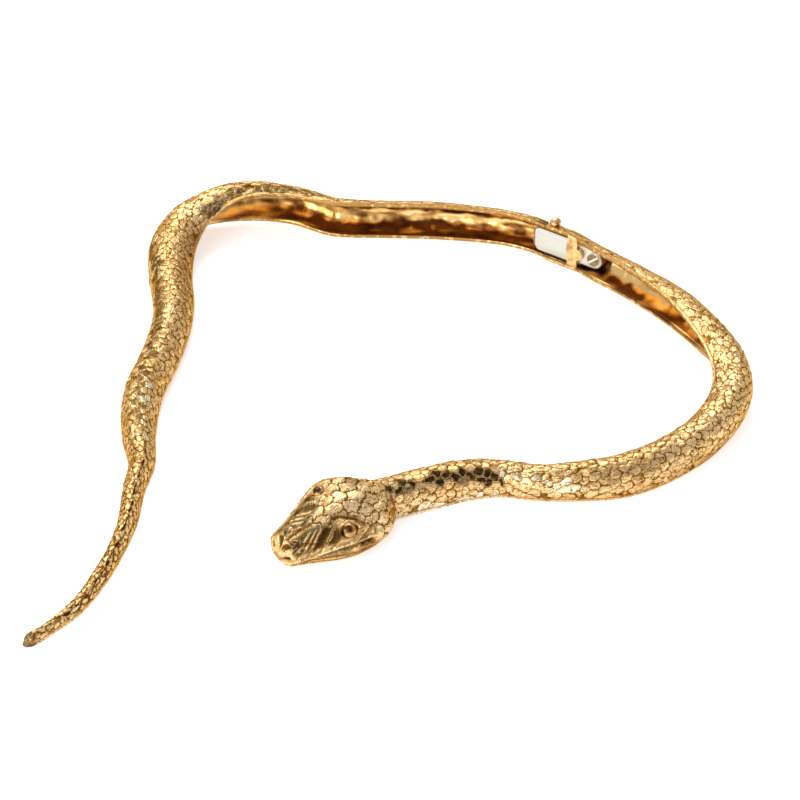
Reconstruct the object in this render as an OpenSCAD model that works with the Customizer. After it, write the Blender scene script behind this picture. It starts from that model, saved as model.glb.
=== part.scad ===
// A rigid snake collar: two cast, open-backed halves on a sprung hinge at the nape of the neck.
// The collar lies on the plane z = 0, with the hinge at +Y, the head half at +X and the tail half at -X.
// The origin is on that plane, in the middle of the neck opening.

/* [Shell] */
// Thickness of the cast gold wall
wall = 0.9; // [0.7:0.05:1.2]
// Height of the raised scales above the skin between them
relief = 0.2; // [0:0.05:0.3]
// Length of one scale step along the body
pitch = 2; // [1.8:0.1:3]

/* [Hinge] */
// Distance of the hinge pin from the origin, towards the nape
pin_y = 71.2; // [71:0.1:71.4]
// Diameter of the hinge pin
pin_d = 1.2; // [1:0.1:1.4]
// Running clearance between pin and bore, on the radius
pin_gap = 0.03; // [0.02:0.01:0.06]
// Diameter of the pin's domed head
pin_head_d = 2.5; // [2.2:0.1:2.8]
// Outside diameter of the head half's two knuckles
knuckle_d = 2.7; // [2.5:0.1:2.8]
// Outside diameter of the tail half's middle knuckle
barrel_d = 2.3; // [2.1:0.1:2.4]
// Furthest that the head half swings open, in degrees
open_angle = 25; // [15:1:27]

/* [Spring] */
// Thickness of the steel leaf
leaf_t = 0.45; // [0.35:0.05:0.5]
// Height of the leaf's free end
leaf_h = 6.5; // [6.2:0.1:6.7]
// Height of the leaf at its screw
leaf_foot_h = 5.3; // [5:0.1:5.6]
// Diameter of the screw head
screw_head_d = 3.1; // [2.8:0.1:3.4]
// Diameter of the screw's shank
shank_d = 1.4; // [1.2:0.1:1.6]

/* [Head] */
// Diameter of the eyeballs
eye_d = 2.8; // [2.4:0.1:3.2]
// Diameter of the raised ring round each eye, measured at the middle of its wire
eye_ring_d = 3.9; // [3.6:0.1:4.4]

/* [Hidden] */

// Columns of a row of the two tables below. A row is one section of the body, square to its path.
// X and Y place the middle of its open side, LIFT is the height of its lower rim above the plane,
// WIDTH is the size from rim to rim and DEPTH the height of the arch over the rims. ROLL is the
// angle that the scaled back is turned from facing outward, 0, to facing up, 90. HOLLOW is the
// share of the depth that the channel takes, and HEAD blends the arch into the head's outline.
X = 0;
Y = 1;
LIFT = 2;
WIDTH = 3;
DEPTH = 4;
ROLL = 5;
HOLLOW = 6;
HEAD = 7;

TAIL_ROWS = [
    [ -1.8,  69.0, 0.0,  9.0, 5.6,  0, 1.0, 0],
    [ -7.0,  69.0, 0.0,  9.0, 5.6,  0, 1.0, 0],
    [-14.3,  67.1, 0.0,  9.1, 5.5,  0, 1.0, 0],
    [-26.5,  60.6, 0.0,  9.5, 6.0,  0, 1.0, 0],
    [-37.5,  53.2, 0.0,  9.5, 6.0,  0, 1.0, 0],
    [-47.5,  46.2, 0.0,  9.8, 6.4,  4, 1.0, 0],
    [-58.8,  42.5, 0.8,  9.8, 6.8, 14, 1.0, 0],
    [-67.2,  35.6, 0.8, 11.2, 7.2, 30, 1.0, 0],
    [-72.4,  26.1, 0.4, 11.0, 7.2, 54, 1.0, 0],
    [-71.0,  15.8, 0.0, 11.6, 7.2, 68, 1.0, 0],
    [-63.8,   5.7, 0.0, 10.4, 6.6, 74, 1.0, 0],
    [-55.1,  -3.5, 0.0,  9.6, 6.3, 76, 1.0, 0],
    [-48.3, -13.2, 0.0,  9.4, 6.3, 78, 1.0, 0],
    [-42.3, -24.6, 0.0,  9.3, 6.2, 80, 1.0, 0],
    [-37.0, -35.4, 0.0,  9.0, 6.0, 80, 0.8, 0],
    [-29.1, -46.1, 0.0,  7.6, 5.2, 84, 0.4, 0],
    [-21.4, -54.1, 0.0,  5.8, 4.4, 88, 0.0, 0],
    [-16.5, -62.4, 0.0,  4.9, 3.8, 90, 0.0, 0],
    [-10.2, -71.6, 0.0,  4.3, 3.5, 90, 0.0, 0],
    [ -5.5, -80.6, 0.0,  3.7, 3.1, 90, 0.0, 0],
    [ -1.8, -90.1, 0.0,  3.6, 2.9, 90, 0.0, 0],
    [  1.0,-100.4, 0.0,  3.2, 2.7, 90, 0.0, 0],
    [  1.2,-110.0, 0.0,  2.6, 2.4, 90, 0.0, 0],
    [  0.7,-113.4, 0.0,  2.9, 2.4, 90, 0.0, 0],
    [  0.5,-115.2, 0.0,  1.8, 1.5, 90, 0.0, 0]
];

HEAD_ROWS = [
    [ -1.6,  69.0, 0.0,  9.0, 5.6,  0, 1.0, 0],
    [  5.0,  69.0, 0.0,  9.0, 5.6,  0, 1.0, 0],
    [ 12.0,  67.4, 0.0,  9.1, 5.5,  2, 1.0, 0],
    [ 25.0,  64.6, 0.0,  9.4, 6.0,  8, 1.0, 0],
    [ 38.0,  60.4, 0.0,  9.7, 7.0, 14, 1.0, 0],
    [ 49.6,  54.8, 0.0,  9.6, 7.0, 22, 1.0, 0],
    [ 60.5,  48.1, 0.0,  8.9, 6.8, 36, 1.0, 0],
    [ 68.2,  38.4, 0.0,  9.4, 6.6, 48, 1.0, 0],
    [ 70.6,  26.0, 0.0,  9.4, 6.4, 58, 1.0, 0],
    [ 69.0,  13.0, 0.0,  9.6, 6.2, 64, 1.0, 0],
    [ 64.9,   2.4, 0.0,  9.8, 6.2, 68, 1.0, 0],
    [ 58.7,  -4.4, 0.0,  9.0, 6.0, 70, 1.0, 0],
    [ 52.0,  -9.8, 0.0,  8.0, 5.7, 72, 1.0, 0],
    [ 44.3, -13.7, 0.0,  8.3, 5.7, 72, 1.0, 0],
    [ 38.4, -19.7, 0.0,  9.4, 6.2, 72, 1.0, 0],
    [ 33.8, -27.3, 0.0,  9.7, 6.2, 72, 1.0, 0],
    [ 30.8, -32.8, 0.0,  9.8, 6.2, 72, 1.0, 0],
    [ 29.5, -35.9, 0.0, 10.2, 6.5, 72, 1.0, 0.1],
    [ 29.1, -38.8, 0.0, 13.0, 7.0, 72, 0.9, 0.6],
    [ 28.8, -41.8, 0.0, 16.4, 7.6, 72, 0.9, 0.9],
    [ 28.3, -45.1, 0.0, 18.4, 8.1, 72, 0.9, 1.0],
    [ 27.5, -48.8, 0.0, 18.6, 8.2, 72, 0.8, 1.0],
    [ 27.0, -50.8, 0.0, 17.7, 8.0, 72, 0.7, 1.0],
    [ 26.1, -53.7, 0.0, 15.4, 7.2, 72, 0.6, 1.0],
    [ 24.6, -58.2, 0.0, 10.5, 5.7, 72, 0.2, 1.0],
    [ 23.4, -61.4, 0.0,  8.0, 4.7, 72, 0.0, 1.0],
    [ 23.0, -62.8, 0.0,  6.6, 3.8, 72, 0.0, 1.0]
];

// Outline of one side of the head, from the jaw's lower edge to the crown,
// as shares of half the width and of the depth
HEAD_OUTLINE = [
    [0.88, 0.00],
    [0.94, 0.14],
    [0.94, 0.28],
    [1.02, 0.40],
    [0.97, 0.54],
    [0.84, 0.70],
    [0.66, 0.90],
    [0.36, 0.95],
    [0.00, 1.00]
];
HALF_STEPS = len(HEAD_OUTLINE) - 1;
// The outline step from which the head carries raised scales
CROWN_STEP = 6;
// Outline steps at each rim that stay smooth
SMOOTH_RIM = 1;
// Body width from which the scales have their full height
FULL_SCALE_W = 8;
// Least width of the channel, as a share of the body's
MIN_CHANNEL = 0.4;
OUTER_STEPS = 2 * HALF_STEPS;
INNER_STEPS = HALF_STEPS;
RING_POINTS = OUTER_STEPS + INNER_STEPS + 2;

function chord(a, b) = norm([b[X] - a[X], b[Y] - a[Y]]);

function row_slope(rows, i) =
    let (before = rows[max(i - 1, 0)], after = rows[min(i + 1, len(rows) - 1)])
    (after - before) / chord(before, after);

// A smooth row between row i and the next one, at the share t of the way
function row_between(rows, i, t) =
    let (span = chord(rows[i], rows[i + 1]))
    rows[i] * (2 * t ^ 3 - 3 * t ^ 2 + 1)
    + rows[i + 1] * (3 * t ^ 2 - 2 * t ^ 3)
    + row_slope(rows, i) * span * (t ^ 3 - 2 * t ^ 2 + t)
    + row_slope(rows, i + 1) * span * (t ^ 3 - t ^ 2);

function path_slope(rows, i, t) =
    let (span = chord(rows[i], rows[i + 1]))
    (rows[i + 1] - rows[i]) * (6 * t - 6 * t ^ 2)
    + row_slope(rows, i) * span * (3 * t ^ 2 - 4 * t + 1)
    + row_slope(rows, i + 1) * span * (3 * t ^ 2 - 2 * t);

// Places of the rings as [row index, share], about one scale step apart
function ring_places(rows) = [
    for (i = [0 : len(rows) - 2])
        let (steps = max(1, round(chord(rows[i], rows[i + 1]) / pitch)))
        for (k = [0 : steps - 1]) [i, k / steps],
    [len(rows) - 2, 1]
];

// The arch's unit outline at step j, from the lower rim over the back to the upper rim
function arch_point(j, head) =
    let (
        k = min(j, OUTER_STEPS - j),
        side = j <= HALF_STEPS ? -1 : 1,
        angle = 90 * k / HALF_STEPS,
        body = [cos(angle), sin(angle)],
        mixed = body * (1 - head) + HEAD_OUTLINE[k] * head
    )
    [side * mixed[0], mixed[1]];

// Raised scales stand on every second point, and stop at the rims, the jaw and both ends
function scale_height(ring, j, row, ring_count) =
    let (
        k = min(j, OUTER_STEPS - j),
        raised = (ring + j) % 2 == 0,
        scaled = k > SMOOTH_RIM && (row[HEAD] < 0.5 || k >= CROWN_STEP),
        end = ring == 0 || ring >= ring_count - 2
    )
    raised && scaled && !end ? relief * min(1, row[WIDTH] / FULL_SCALE_W) : 0;

function ring_points(rows, place, ring, ring_count, side) =
    let (
        row = row_between(rows, place[0], place[1]),
        slope = path_slope(rows, place[0], place[1]),
        ahead = [slope[X], slope[Y]] / norm([slope[X], slope[Y]]),
        outward = side * [ahead[1], -ahead[0]],
        roll = row[ROLL],
        dorsal = [outward[0] * cos(roll), outward[1] * cos(roll), sin(roll)],
        across = [-outward[0] * sin(roll), -outward[1] * sin(roll), cos(roll)],
        half = row[WIDTH] / 2,
        edge = 1 - row[HEAD] * (1 - HEAD_OUTLINE[0][0]),
        inner_half = max(half * edge - wall, half * MIN_CHANNEL),
        inner_depth = max(row[DEPTH] - wall, 0) * max(row[HOLLOW], 0),
        middle = [row[X], row[Y], max(row[LIFT], 0) + half * edge * cos(roll)]
    )
    [
        for (j = [0 : OUTER_STEPS])
            let (
                point = arch_point(j, row[HEAD]),
                rise = scale_height(ring, j, row, ring_count)
            )
            middle + across * point[0] * (half + rise) + dorsal * point[1] * (row[DEPTH] + rise),
        for (l = [0 : INNER_STEPS])
            let (angle = 180 * l / INNER_STEPS)
            middle + across * cos(angle) * inner_half + dorsal * sin(angle) * inner_depth
    ];

// A square between two rings, split so that the raised points stay apart
function skin_faces(ring, j) =
    let (
        a = ring * RING_POINTS + j,
        b = ring * RING_POINTS + (j + 1) % RING_POINTS,
        c = b + RING_POINTS,
        d = a + RING_POINTS
    )
    (ring + j) % 2 == 0 ? [[a, b, d], [b, c, d]] : [[a, b, c], [a, c, d]];

// The flat end of the shell, as a strip between its outer and its inner outline
function end_faces(first) = [
    for (l = [0 : INNER_STEPS - 1])
        let (
            outer = first + OUTER_STEPS - 2 * l,
            inner = first + OUTER_STEPS + 1 + l
        )
        each [
            [outer, outer - 1, inner],
            [outer - 1, inner + 1, inner],
            [outer - 1, outer - 2, inner + 1]
        ]
];

function flipped(faces) = [for (face = faces) [face[2], face[1], face[0]]];

// One half of the collar, swept along its rows. side is 1 where the outside lies to the right
// of the path and -1 where it lies to the left.
module shell(rows, side) {
    places = ring_places(rows);
    count = len(places);
    points = [for (i = [0 : count - 1]) each ring_points(rows, places[i], i, count, side)];
    skin = [
        for (i = [0 : count - 2]) for (j = [0 : RING_POINTS - 1]) each skin_faces(i, j)
    ];
    faces = concat(skin, end_faces(0), flipped(end_faces((count - 1) * RING_POINTS)));
    polyhedron(points = points, faces = side > 0 ? faces : flipped(faces), convexity = 12);
}

// Turns and moves its children to a row of a table: x runs across the open side towards the
// upper rim, y along the path and z out of the scaled back
module at_row(rows, i, side) {
    row = rows[i];
    slope = row_slope(rows, i);
    ahead = [slope[X], slope[Y]] / norm([slope[X], slope[Y]]);
    outward = side * [ahead[1], -ahead[0]];
    edge = 1 - row[HEAD] * (1 - HEAD_OUTLINE[0][0]);
    lean = 90 - row[ROLL];
    translate([row[X], row[Y], row[LIFT] + row[WIDTH] / 2 * edge * cos(row[ROLL])])
        rotate([0, 0, atan2(-outward[1], -outward[0])])
            rotate([0, -lean, 0])
                children();
}

// Height of the middle of the band at the hinge
mid_z = TAIL_ROWS[0][WIDTH] / 2;
band_top = TAIL_ROWS[0][WIDTH];
rim_y = TAIL_ROWS[0][Y];
seam_x = TAIL_ROWS[0][X];

// The middle knuckle is the tail half's, and the two outer ones are the head half's
barrel_h = 4.4;
barrel_low = mid_z - barrel_h / 2;
barrel_top = mid_z + barrel_h / 2;
knuckle_gap = 0.1;
knuckle_low = 0.3;
knuckle_rise = 0.8;
knuckle_top = band_top + knuckle_rise;
// The web and the bulkhead that carry the middle knuckle
web_t = 1.2;
web_reach = 2.1;
bulkhead_x = seam_x - web_reach;
bulkhead_t = 1.5;
bulkhead_h = 5.8;
bulkhead_y = [69.9, 73.1];
// The notch in the back wall that lets the halves swing, a little wider than the swing
notch_spare = 5;
notch_angle = open_angle + notch_spare;
notch_start = pin_y - web_t / 2;
notch_reach = 6;

// The leaf lies straight behind the bridge, from the tail half's channel to the screw
leaf_y = 69.35;
leaf_x = [-4.8, 14.7];
leaf_step_x = 8.6;
leaf_corner = 1.7;
screw_x = 12.4;
screw_head_h = 0.7;
slot_w = 0.5;
slot_depth = 0.3;
slot_turn = -40;
seat_gap = 0.02;
post_d = 3;
post_end_y = 72.4;
bore_end_y = 71.8;
shank_end_y = 71.6;
// The bridge, with its half-round tab and the foot below it
bridge_x = [5.1, 8.1];
bridge_y = [68.4, 69.25];
bridge_margin = 0.15;
tab_r = 1.5;
tab_t = 0.6;
foot_x = -1.4;
foot_y = [68.2, 69.5];
foot_z = [0.05, 0.8];

// Places of the eyes and nostrils, as row numbers and as shares of half the width and of the depth
EYE_ROW = 22;
EYE_PLACE = [0.69, 0.86];
EYE_LEAN = 45;
EYE_RING_WIRE = 0.7;
// Height of the eye's opening as a share of its length, and how deep the eyeball sits in it
EYE_SQUEEZE = 0.75;
EYE_SINK = 0.5;
// How far an eye's round seat reaches into the head and stands out of it
EYE_SEAT = [1.4, 0.2];
NOSTRIL_ROW = 26;
NOSTRIL_PLACE = [0.9, 0.55];
NOSTRIL_D = 1;
// Sides of a full circle
SMOOTH = 40;
// Height of the dome on the hinge pin
DOME_H = 0.65;

module pin_bore() {
    translate([0, pin_y, 0])
        cylinder(d = pin_d + 2 * pin_gap, h = 3 * band_top, center = true, $fn = SMOOTH);
}

module barrel() {
    translate([0, pin_y, barrel_low])
        cylinder(d = barrel_d, h = barrel_h, $fn = SMOOTH);
    translate([bulkhead_x, pin_y - web_t / 2, barrel_low])
        cube([-bulkhead_x, web_t, barrel_h]);
    translate([bulkhead_x - bulkhead_t, bulkhead_y[0], mid_z - bulkhead_h / 2])
        cube([bulkhead_t, bulkhead_y[1] - bulkhead_y[0], bulkhead_h]);
}

// The wedge cut out of the tail half's back wall beside the pin
module swing_notch() {
    notch_end = notch_start + notch_reach;
    translate([0, 0, -band_top])
        linear_extrude(3 * band_top)
            polygon([
                [0, notch_start],
                [0, notch_end],
                [seam_x - notch_reach * tan(notch_angle), notch_end],
                [seam_x, notch_start]
            ]);
}

module outer_knuckles() {
    low_top = barrel_low - knuckle_gap;
    high_low = barrel_top + knuckle_gap;
    translate([0, pin_y, knuckle_low])
        cylinder(d = knuckle_d, h = low_top - knuckle_low, $fn = SMOOTH);
    translate([0, pin_y, high_low])
        cylinder(d = knuckle_d, h = knuckle_top - high_low, $fn = SMOOTH);
}

// The strap across the channel's mouth that holds the leaf back
module bridge() {
    translate([bridge_x[0], bridge_y[0], bridge_margin])
        cube([
            bridge_x[1] - bridge_x[0],
            bridge_y[1] - bridge_y[0],
            band_top - 2 * bridge_margin
        ]);
    translate([bridge_x[1], bridge_y[1], mid_z])
        rotate([90, 0, 0])
            cylinder(r = tab_r, h = tab_t, $fn = SMOOTH);
    translate([foot_x, foot_y[0], foot_z[0]])
        cube([
            bridge_x[1] - foot_x,
            foot_y[1] - foot_y[0],
            foot_z[1] - foot_z[0]
        ]);
}

module screw_post() {
    translate([screw_x, post_end_y, mid_z])
        rotate([90, 0, 0])
            cylinder(d = post_d, h = post_end_y - leaf_y - leaf_t - seat_gap, $fn = SMOOTH);
}

module shank_bore() {
    translate([screw_x, bore_end_y, mid_z])
        rotate([90, 0, 0])
            cylinder(d = shank_d + 2 * pin_gap, h = bore_end_y - bridge_y[0], $fn = SMOOTH);
}

// An eyeball in its ring, on a round seat that is sunk into the head
module eye() {
    translate([0, 0, -EYE_SEAT[0]])
        cylinder(d = eye_ring_d + EYE_RING_WIRE, h = EYE_SEAT[0] + EYE_SEAT[1], $fn = SMOOTH);
    translate([0, 0, -EYE_SINK])
        sphere(d = eye_d, $fn = SMOOTH);
    translate([0, 0, EYE_SEAT[1]])
        rotate_extrude($fn = SMOOTH)
            translate([eye_ring_d / 2, 0])
                circle(d = EYE_RING_WIRE, $fn = SMOOTH);
}

module eyes() {
    row = HEAD_ROWS[EYE_ROW];
    at_row(HEAD_ROWS, EYE_ROW, -1)
        for (s = [-1, 1])
            translate([s * EYE_PLACE[0] * row[WIDTH] / 2, 0, EYE_PLACE[1] * row[DEPTH]])
                rotate([0, s * EYE_LEAN, 0])
                    scale([EYE_SQUEEZE, 1, 1])
                        eye();
}

module nostrils() {
    row = HEAD_ROWS[NOSTRIL_ROW];
    at_row(HEAD_ROWS, NOSTRIL_ROW, -1)
        for (s = [-1, 1])
            translate([s * NOSTRIL_PLACE[0] * row[WIDTH] / 2, 0, NOSTRIL_PLACE[1] * row[DEPTH]])
                sphere(d = NOSTRIL_D, $fn = SMOOTH);
}

module tail_half() {
    color("goldenrod")
        difference() {
            union() {
                difference() {
                    shell(TAIL_ROWS, 1);
                    swing_notch();
                }
                barrel();
            }
            pin_bore();
        }
}

module head_half() {
    color("gold")
        difference() {
            union() {
                shell(HEAD_ROWS, -1);
                outer_knuckles();
                bridge();
                screw_post();
                eyes();
            }
            pin_bore();
            shank_bore();
            nostrils();
        }
}

module hinge_pin() {
    shank_end = knuckle_top + knuckle_gap / 2;
    dome_r = (pin_head_d ^ 2 / 4 + DOME_H ^ 2) / (2 * DOME_H);
    color("darkgoldenrod") {
        translate([0, pin_y, knuckle_low])
            cylinder(d = pin_d, h = shank_end - knuckle_low + DOME_H / 2, $fn = SMOOTH);
        translate([0, pin_y, shank_end])
            intersection() {
                translate([0, 0, DOME_H - dome_r])
                    sphere(r = dome_r, $fn = SMOOTH);
                cylinder(d = pin_head_d, h = DOME_H, $fn = SMOOTH);
            }
    }
}

// The leaf seen from the neck: a tall free end with rounded corners and a lower foot
module leaf_outline() {
    tall = leaf_h - 2 * leaf_corner;
    foot_r = leaf_foot_h / 2;
    translate([leaf_x[0] + leaf_corner, mid_z - leaf_h / 2])
        square([leaf_step_x - leaf_x[0] - leaf_corner, leaf_h]);
    translate([leaf_x[0], mid_z - tall / 2])
        square([leaf_corner, tall]);
    for (s = [-1, 1])
        translate([leaf_x[0] + leaf_corner, mid_z + s * tall / 2])
            circle(r = leaf_corner, $fn = SMOOTH);
    translate([leaf_step_x - leaf_corner, mid_z - foot_r])
        square([leaf_x[1] - foot_r - leaf_step_x + leaf_corner, leaf_foot_h]);
    translate([leaf_x[1] - foot_r, mid_z])
        circle(r = foot_r, $fn = SMOOTH);
}

module leaf_spring() {
    color("gainsboro")
        translate([0, leaf_y + leaf_t, 0])
            rotate([90, 0, 0])
                linear_extrude(leaf_t)
                    difference() {
                        leaf_outline();
                        translate([screw_x, mid_z])
                            circle(d = shank_d + 2 * pin_gap, $fn = SMOOTH);
                    }
}

module spring_screw() {
    head_y = leaf_y - seat_gap;
    color("dimgray")
        difference() {
            union() {
                translate([screw_x, head_y, mid_z])
                    rotate([90, 0, 0])
                        cylinder(d = screw_head_d, h = screw_head_h, $fn = SMOOTH);
                translate([screw_x, shank_end_y, mid_z])
                    rotate([90, 0, 0])
                        cylinder(d = shank_d, h = shank_end_y - head_y, $fn = SMOOTH);
            }
            translate([screw_x, head_y - screw_head_h, mid_z])
                rotate([0, slot_turn, 0])
                    cube([2 * screw_head_d, 2 * slot_depth, slot_w], center = true);
        }
}

head_half();
tail_half();
hinge_pin();
leaf_spring();
spring_screw();
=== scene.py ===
import math

import bmesh
import bpy
import numpy as np
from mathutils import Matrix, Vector


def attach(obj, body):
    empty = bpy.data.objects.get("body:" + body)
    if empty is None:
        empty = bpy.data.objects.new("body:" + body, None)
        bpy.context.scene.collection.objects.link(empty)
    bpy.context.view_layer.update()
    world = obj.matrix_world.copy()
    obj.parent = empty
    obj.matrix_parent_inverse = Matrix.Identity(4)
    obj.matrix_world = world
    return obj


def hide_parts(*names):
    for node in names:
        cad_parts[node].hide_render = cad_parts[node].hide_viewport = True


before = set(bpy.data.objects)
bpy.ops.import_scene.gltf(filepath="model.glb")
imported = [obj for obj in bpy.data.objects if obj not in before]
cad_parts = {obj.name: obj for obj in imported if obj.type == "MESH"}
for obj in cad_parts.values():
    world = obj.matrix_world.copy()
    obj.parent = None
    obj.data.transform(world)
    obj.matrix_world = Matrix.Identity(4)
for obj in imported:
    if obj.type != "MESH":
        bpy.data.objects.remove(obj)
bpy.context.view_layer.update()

MM = 0.001

# Columns of a section: middle of the open side, height of the lower rim, size from rim to rim,
# height of the arch, turn of the back from facing outward to facing up, hollow share, head share
X, Y, LIFT, WIDTH, DEPTH, ROLL, HOLLOW, HEAD = range(8)

TAIL_ROWS = [
    [-1.8, 69.0, 0.0, 9.0, 5.6, 0, 1.0, 0],
    [-7.0, 69.0, 0.0, 9.0, 5.6, 0, 1.0, 0],
    [-14.3, 67.1, 0.0, 9.1, 5.5, 0, 1.0, 0],
    [-26.5, 60.6, 0.0, 9.5, 6.0, 0, 1.0, 0],
    [-37.5, 53.2, 0.0, 9.5, 6.0, 0, 1.0, 0],
    [-47.5, 46.2, 0.0, 9.8, 6.4, 4, 1.0, 0],
    [-58.8, 42.5, 0.8, 9.8, 6.8, 14, 1.0, 0],
    [-67.2, 35.6, 0.8, 11.2, 7.2, 30, 1.0, 0],
    [-72.4, 26.1, 0.4, 11.0, 7.2, 54, 1.0, 0],
    [-71.0, 15.8, 0.0, 11.6, 7.2, 68, 1.0, 0],
    [-63.8, 5.7, 0.0, 10.4, 6.6, 74, 1.0, 0],
    [-55.1, -3.5, 0.0, 9.6, 6.3, 76, 1.0, 0],
    [-48.3, -13.2, 0.0, 9.4, 6.3, 78, 1.0, 0],
    [-42.3, -24.6, 0.0, 9.3, 6.2, 80, 1.0, 0],
    [-37.0, -35.4, 0.0, 9.0, 6.0, 80, 0.8, 0],
    [-29.1, -46.1, 0.0, 7.6, 5.2, 84, 0.4, 0],
    [-21.4, -54.1, 0.0, 5.8, 4.4, 88, 0.0, 0],
    [-16.5, -62.4, 0.0, 4.9, 3.8, 90, 0.0, 0],
    [-10.2, -71.6, 0.0, 4.3, 3.5, 90, 0.0, 0],
    [-5.5, -80.6, 0.0, 3.7, 3.1, 90, 0.0, 0],
    [-1.8, -90.1, 0.0, 3.6, 2.9, 90, 0.0, 0],
    [1.0, -100.4, 0.0, 3.2, 2.7, 90, 0.0, 0],
    [1.2, -110.0, 0.0, 2.6, 2.4, 90, 0.0, 0],
    [0.7, -113.4, 0.0, 2.9, 2.4, 90, 0.0, 0],
    [0.5, -115.2, 0.0, 1.8, 1.5, 90, 0.0, 0],
]

HEAD_ROWS = [
    [-1.6, 69.0, 0.0, 9.0, 5.6, 0, 1.0, 0],
    [5.0, 69.0, 0.0, 9.0, 5.6, 0, 1.0, 0],
    [12.0, 67.4, 0.0, 9.1, 5.5, 2, 1.0, 0],
    [25.0, 64.6, 0.0, 9.4, 6.0, 8, 1.0, 0],
    [38.0, 60.4, 0.0, 9.7, 7.0, 14, 1.0, 0],
    [49.6, 54.8, 0.0, 9.6, 7.0, 22, 1.0, 0],
    [60.5, 48.1, 0.0, 8.9, 6.8, 36, 1.0, 0],
    [68.2, 38.4, 0.0, 9.4, 6.6, 48, 1.0, 0],
    [70.6, 26.0, 0.0, 9.4, 6.4, 58, 1.0, 0],
    [69.0, 13.0, 0.0, 9.6, 6.2, 64, 1.0, 0],
    [64.9, 2.4, 0.0, 9.8, 6.2, 68, 1.0, 0],
    [58.7, -4.4, 0.0, 9.0, 6.0, 70, 1.0, 0],
    [52.0, -9.8, 0.0, 8.0, 5.7, 72, 1.0, 0],
    [44.3, -13.7, 0.0, 8.3, 5.7, 72, 1.0, 0],
    [38.4, -19.7, 0.0, 9.4, 6.2, 72, 1.0, 0],
    [33.8, -27.3, 0.0, 9.7, 6.2, 72, 1.0, 0],
    [30.8, -32.8, 0.0, 9.8, 6.2, 72, 1.0, 0],
    [29.5, -35.9, 0.0, 10.2, 6.5, 72, 1.0, 0.1],
    [29.1, -38.8, 0.0, 13.0, 7.0, 72, 0.9, 0.6],
    [28.8, -41.8, 0.0, 16.4, 7.6, 72, 0.9, 0.9],
    [28.3, -45.1, 0.0, 18.4, 8.1, 72, 0.9, 1.0],
    [27.5, -48.8, 0.0, 18.6, 8.2, 72, 0.8, 1.0],
    [27.0, -50.8, 0.0, 17.7, 8.0, 72, 0.7, 1.0],
    [26.1, -53.7, 0.0, 15.4, 7.2, 72, 0.6, 1.0],
    [24.6, -58.2, 0.0, 10.5, 5.7, 72, 0.2, 1.0],
    [23.4, -61.4, 0.0, 8.0, 4.7, 72, 0.0, 1.0],
    [23.0, -62.8, 0.0, 6.6, 3.8, 72, 0.0, 1.0],
]

# Outline of one side of the head, from the jaw's lower edge to the crown,
# as shares of half the width and of the depth
HEAD_OUTLINE = [
    [0.88, 0.00], [0.94, 0.14], [0.94, 0.28], [1.02, 0.40], [0.97, 0.54],
    [0.84, 0.70], [0.66, 0.90], [0.36, 0.95], [0.00, 1.00],
]
SIDE_STEPS = len(HEAD_OUTLINE) - 1
JAW_EDGE = HEAD_OUTLINE[0][0]

# The wall, the channel's least half width as a share, the rounding of the rims with the share of it by
# which its middle is inset, and how far from the snout and the tip the ends are rounded, down to which
# size
WALL = 0.9
MIN_CHANNEL = 0.4
EDGE_ROUND = 0.18
ROUND_INSET = 0.29
END_ROUND = 1.3
END_SIZE = 0.36

# Grid of a skin: columns across the back, ring spacing on the body and on the head,
# and columns across the channel, which has every second ring
COLUMNS = 88
BODY_STEP = 0.265
HEAD_STEP = 0.15
CHANNEL_COLUMNS = 18
# The back's part between its rounded rims, and the samples for its length
BACK_SPAN = (0.01, 0.99)
ARC_SAMPLES = 161
# Distance to a scale's edge that leaves a place without a groove, and the values of the material's
# attributes on the rims and in the channel, where they aren't 0
NO_GROOVE = 0.6
OFF_THE_BACK = {"edge": NO_GROOVE, "rim": 1.0}

# Hammering of the channel, and the brown streaks along it: depth or strength, mm for a radian around,
# range of the waves' lengths, and their number
HAMMERING = [(0.26, 4.5, (2.5, 7.0), 9), (0.16, 3.5, (1.6, 3.2), 8)]
STREAKS = (0.9, 4.0, (1.3, 4.5), 9)
STREAK_STRETCH = 0.2
# Brown tarnish of the channel in each half: its share, and the angle from which on the lower wall is painted
# shade
TAIL_TARNISH_AND_SHADE = (0.34, 2.3)
HEAD_TARNISH_AND_SHADE = (0.14, 2.65)
# The bend where the channel's brown is lighter, and the darker place beyond it: middle and reach
BRIGHT_BEND = (82, 15)
DARK_BEND = (100, 7)

# Scales: width of a scale from the length of the arc that it lies on, least length,
# length and row spacing as shares, and sizes of the overlapping discs that they are cut from
SCALE_WIDTH = (0.75, 0.074)
SCALE_MIN_LENGTH = 2.3
SCALE_STRETCH = 1.28
ROW_SPACING = 0.78
DISC_ACROSS = 0.57
DISC_ALONG = 0.64
BAND_STRETCH = 1.7
SCALE_JITTER = 0.15
SCALE_TURN = 0.22
# Relief, in millimetres: the scales' height, the rise to their free edge, random tilts and heights,
# and the level and half width of the groove around them
SINK = 0.16
SCALE_HEIGHT = 0.14
SCALE_LIFT = 0.09
SCALE_TILT = 0.10
SCALE_STEP = 0.04
GROOVE_LEVEL = 0.04
GROOVE_WIDTH = 0.14
# How much each scale's shading leans its own way, and the distance to an edge between the discs
SCALE_LEAN = 0.12
GAP_EDGE = 0.06
# How much the grooves narrow where the scales are worn, and widen on the crown and on the tail, and
# the distances between which they do so on the tail
WORN_NARROWER = 0.06
CROWN_WIDER = 0.07
TAIL_WIDER = 0.06
TAIL_CHASED = (180, 220)

# Farthest along the path that a scale still shows from its middle
SCALE_REACH = 6.0
# Waves that make the scales' outlines uneven: the shift in mm, and the phase for each mm along the path
# and for the whole way across
UNEVEN_ACROSS = [(0.14, 3.1, 9), (0.09, 7.3, -31)]
UNEVEN_ALONG = [(0.14, 2.7, 37), (0.09, 5.9, -61)]

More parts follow.
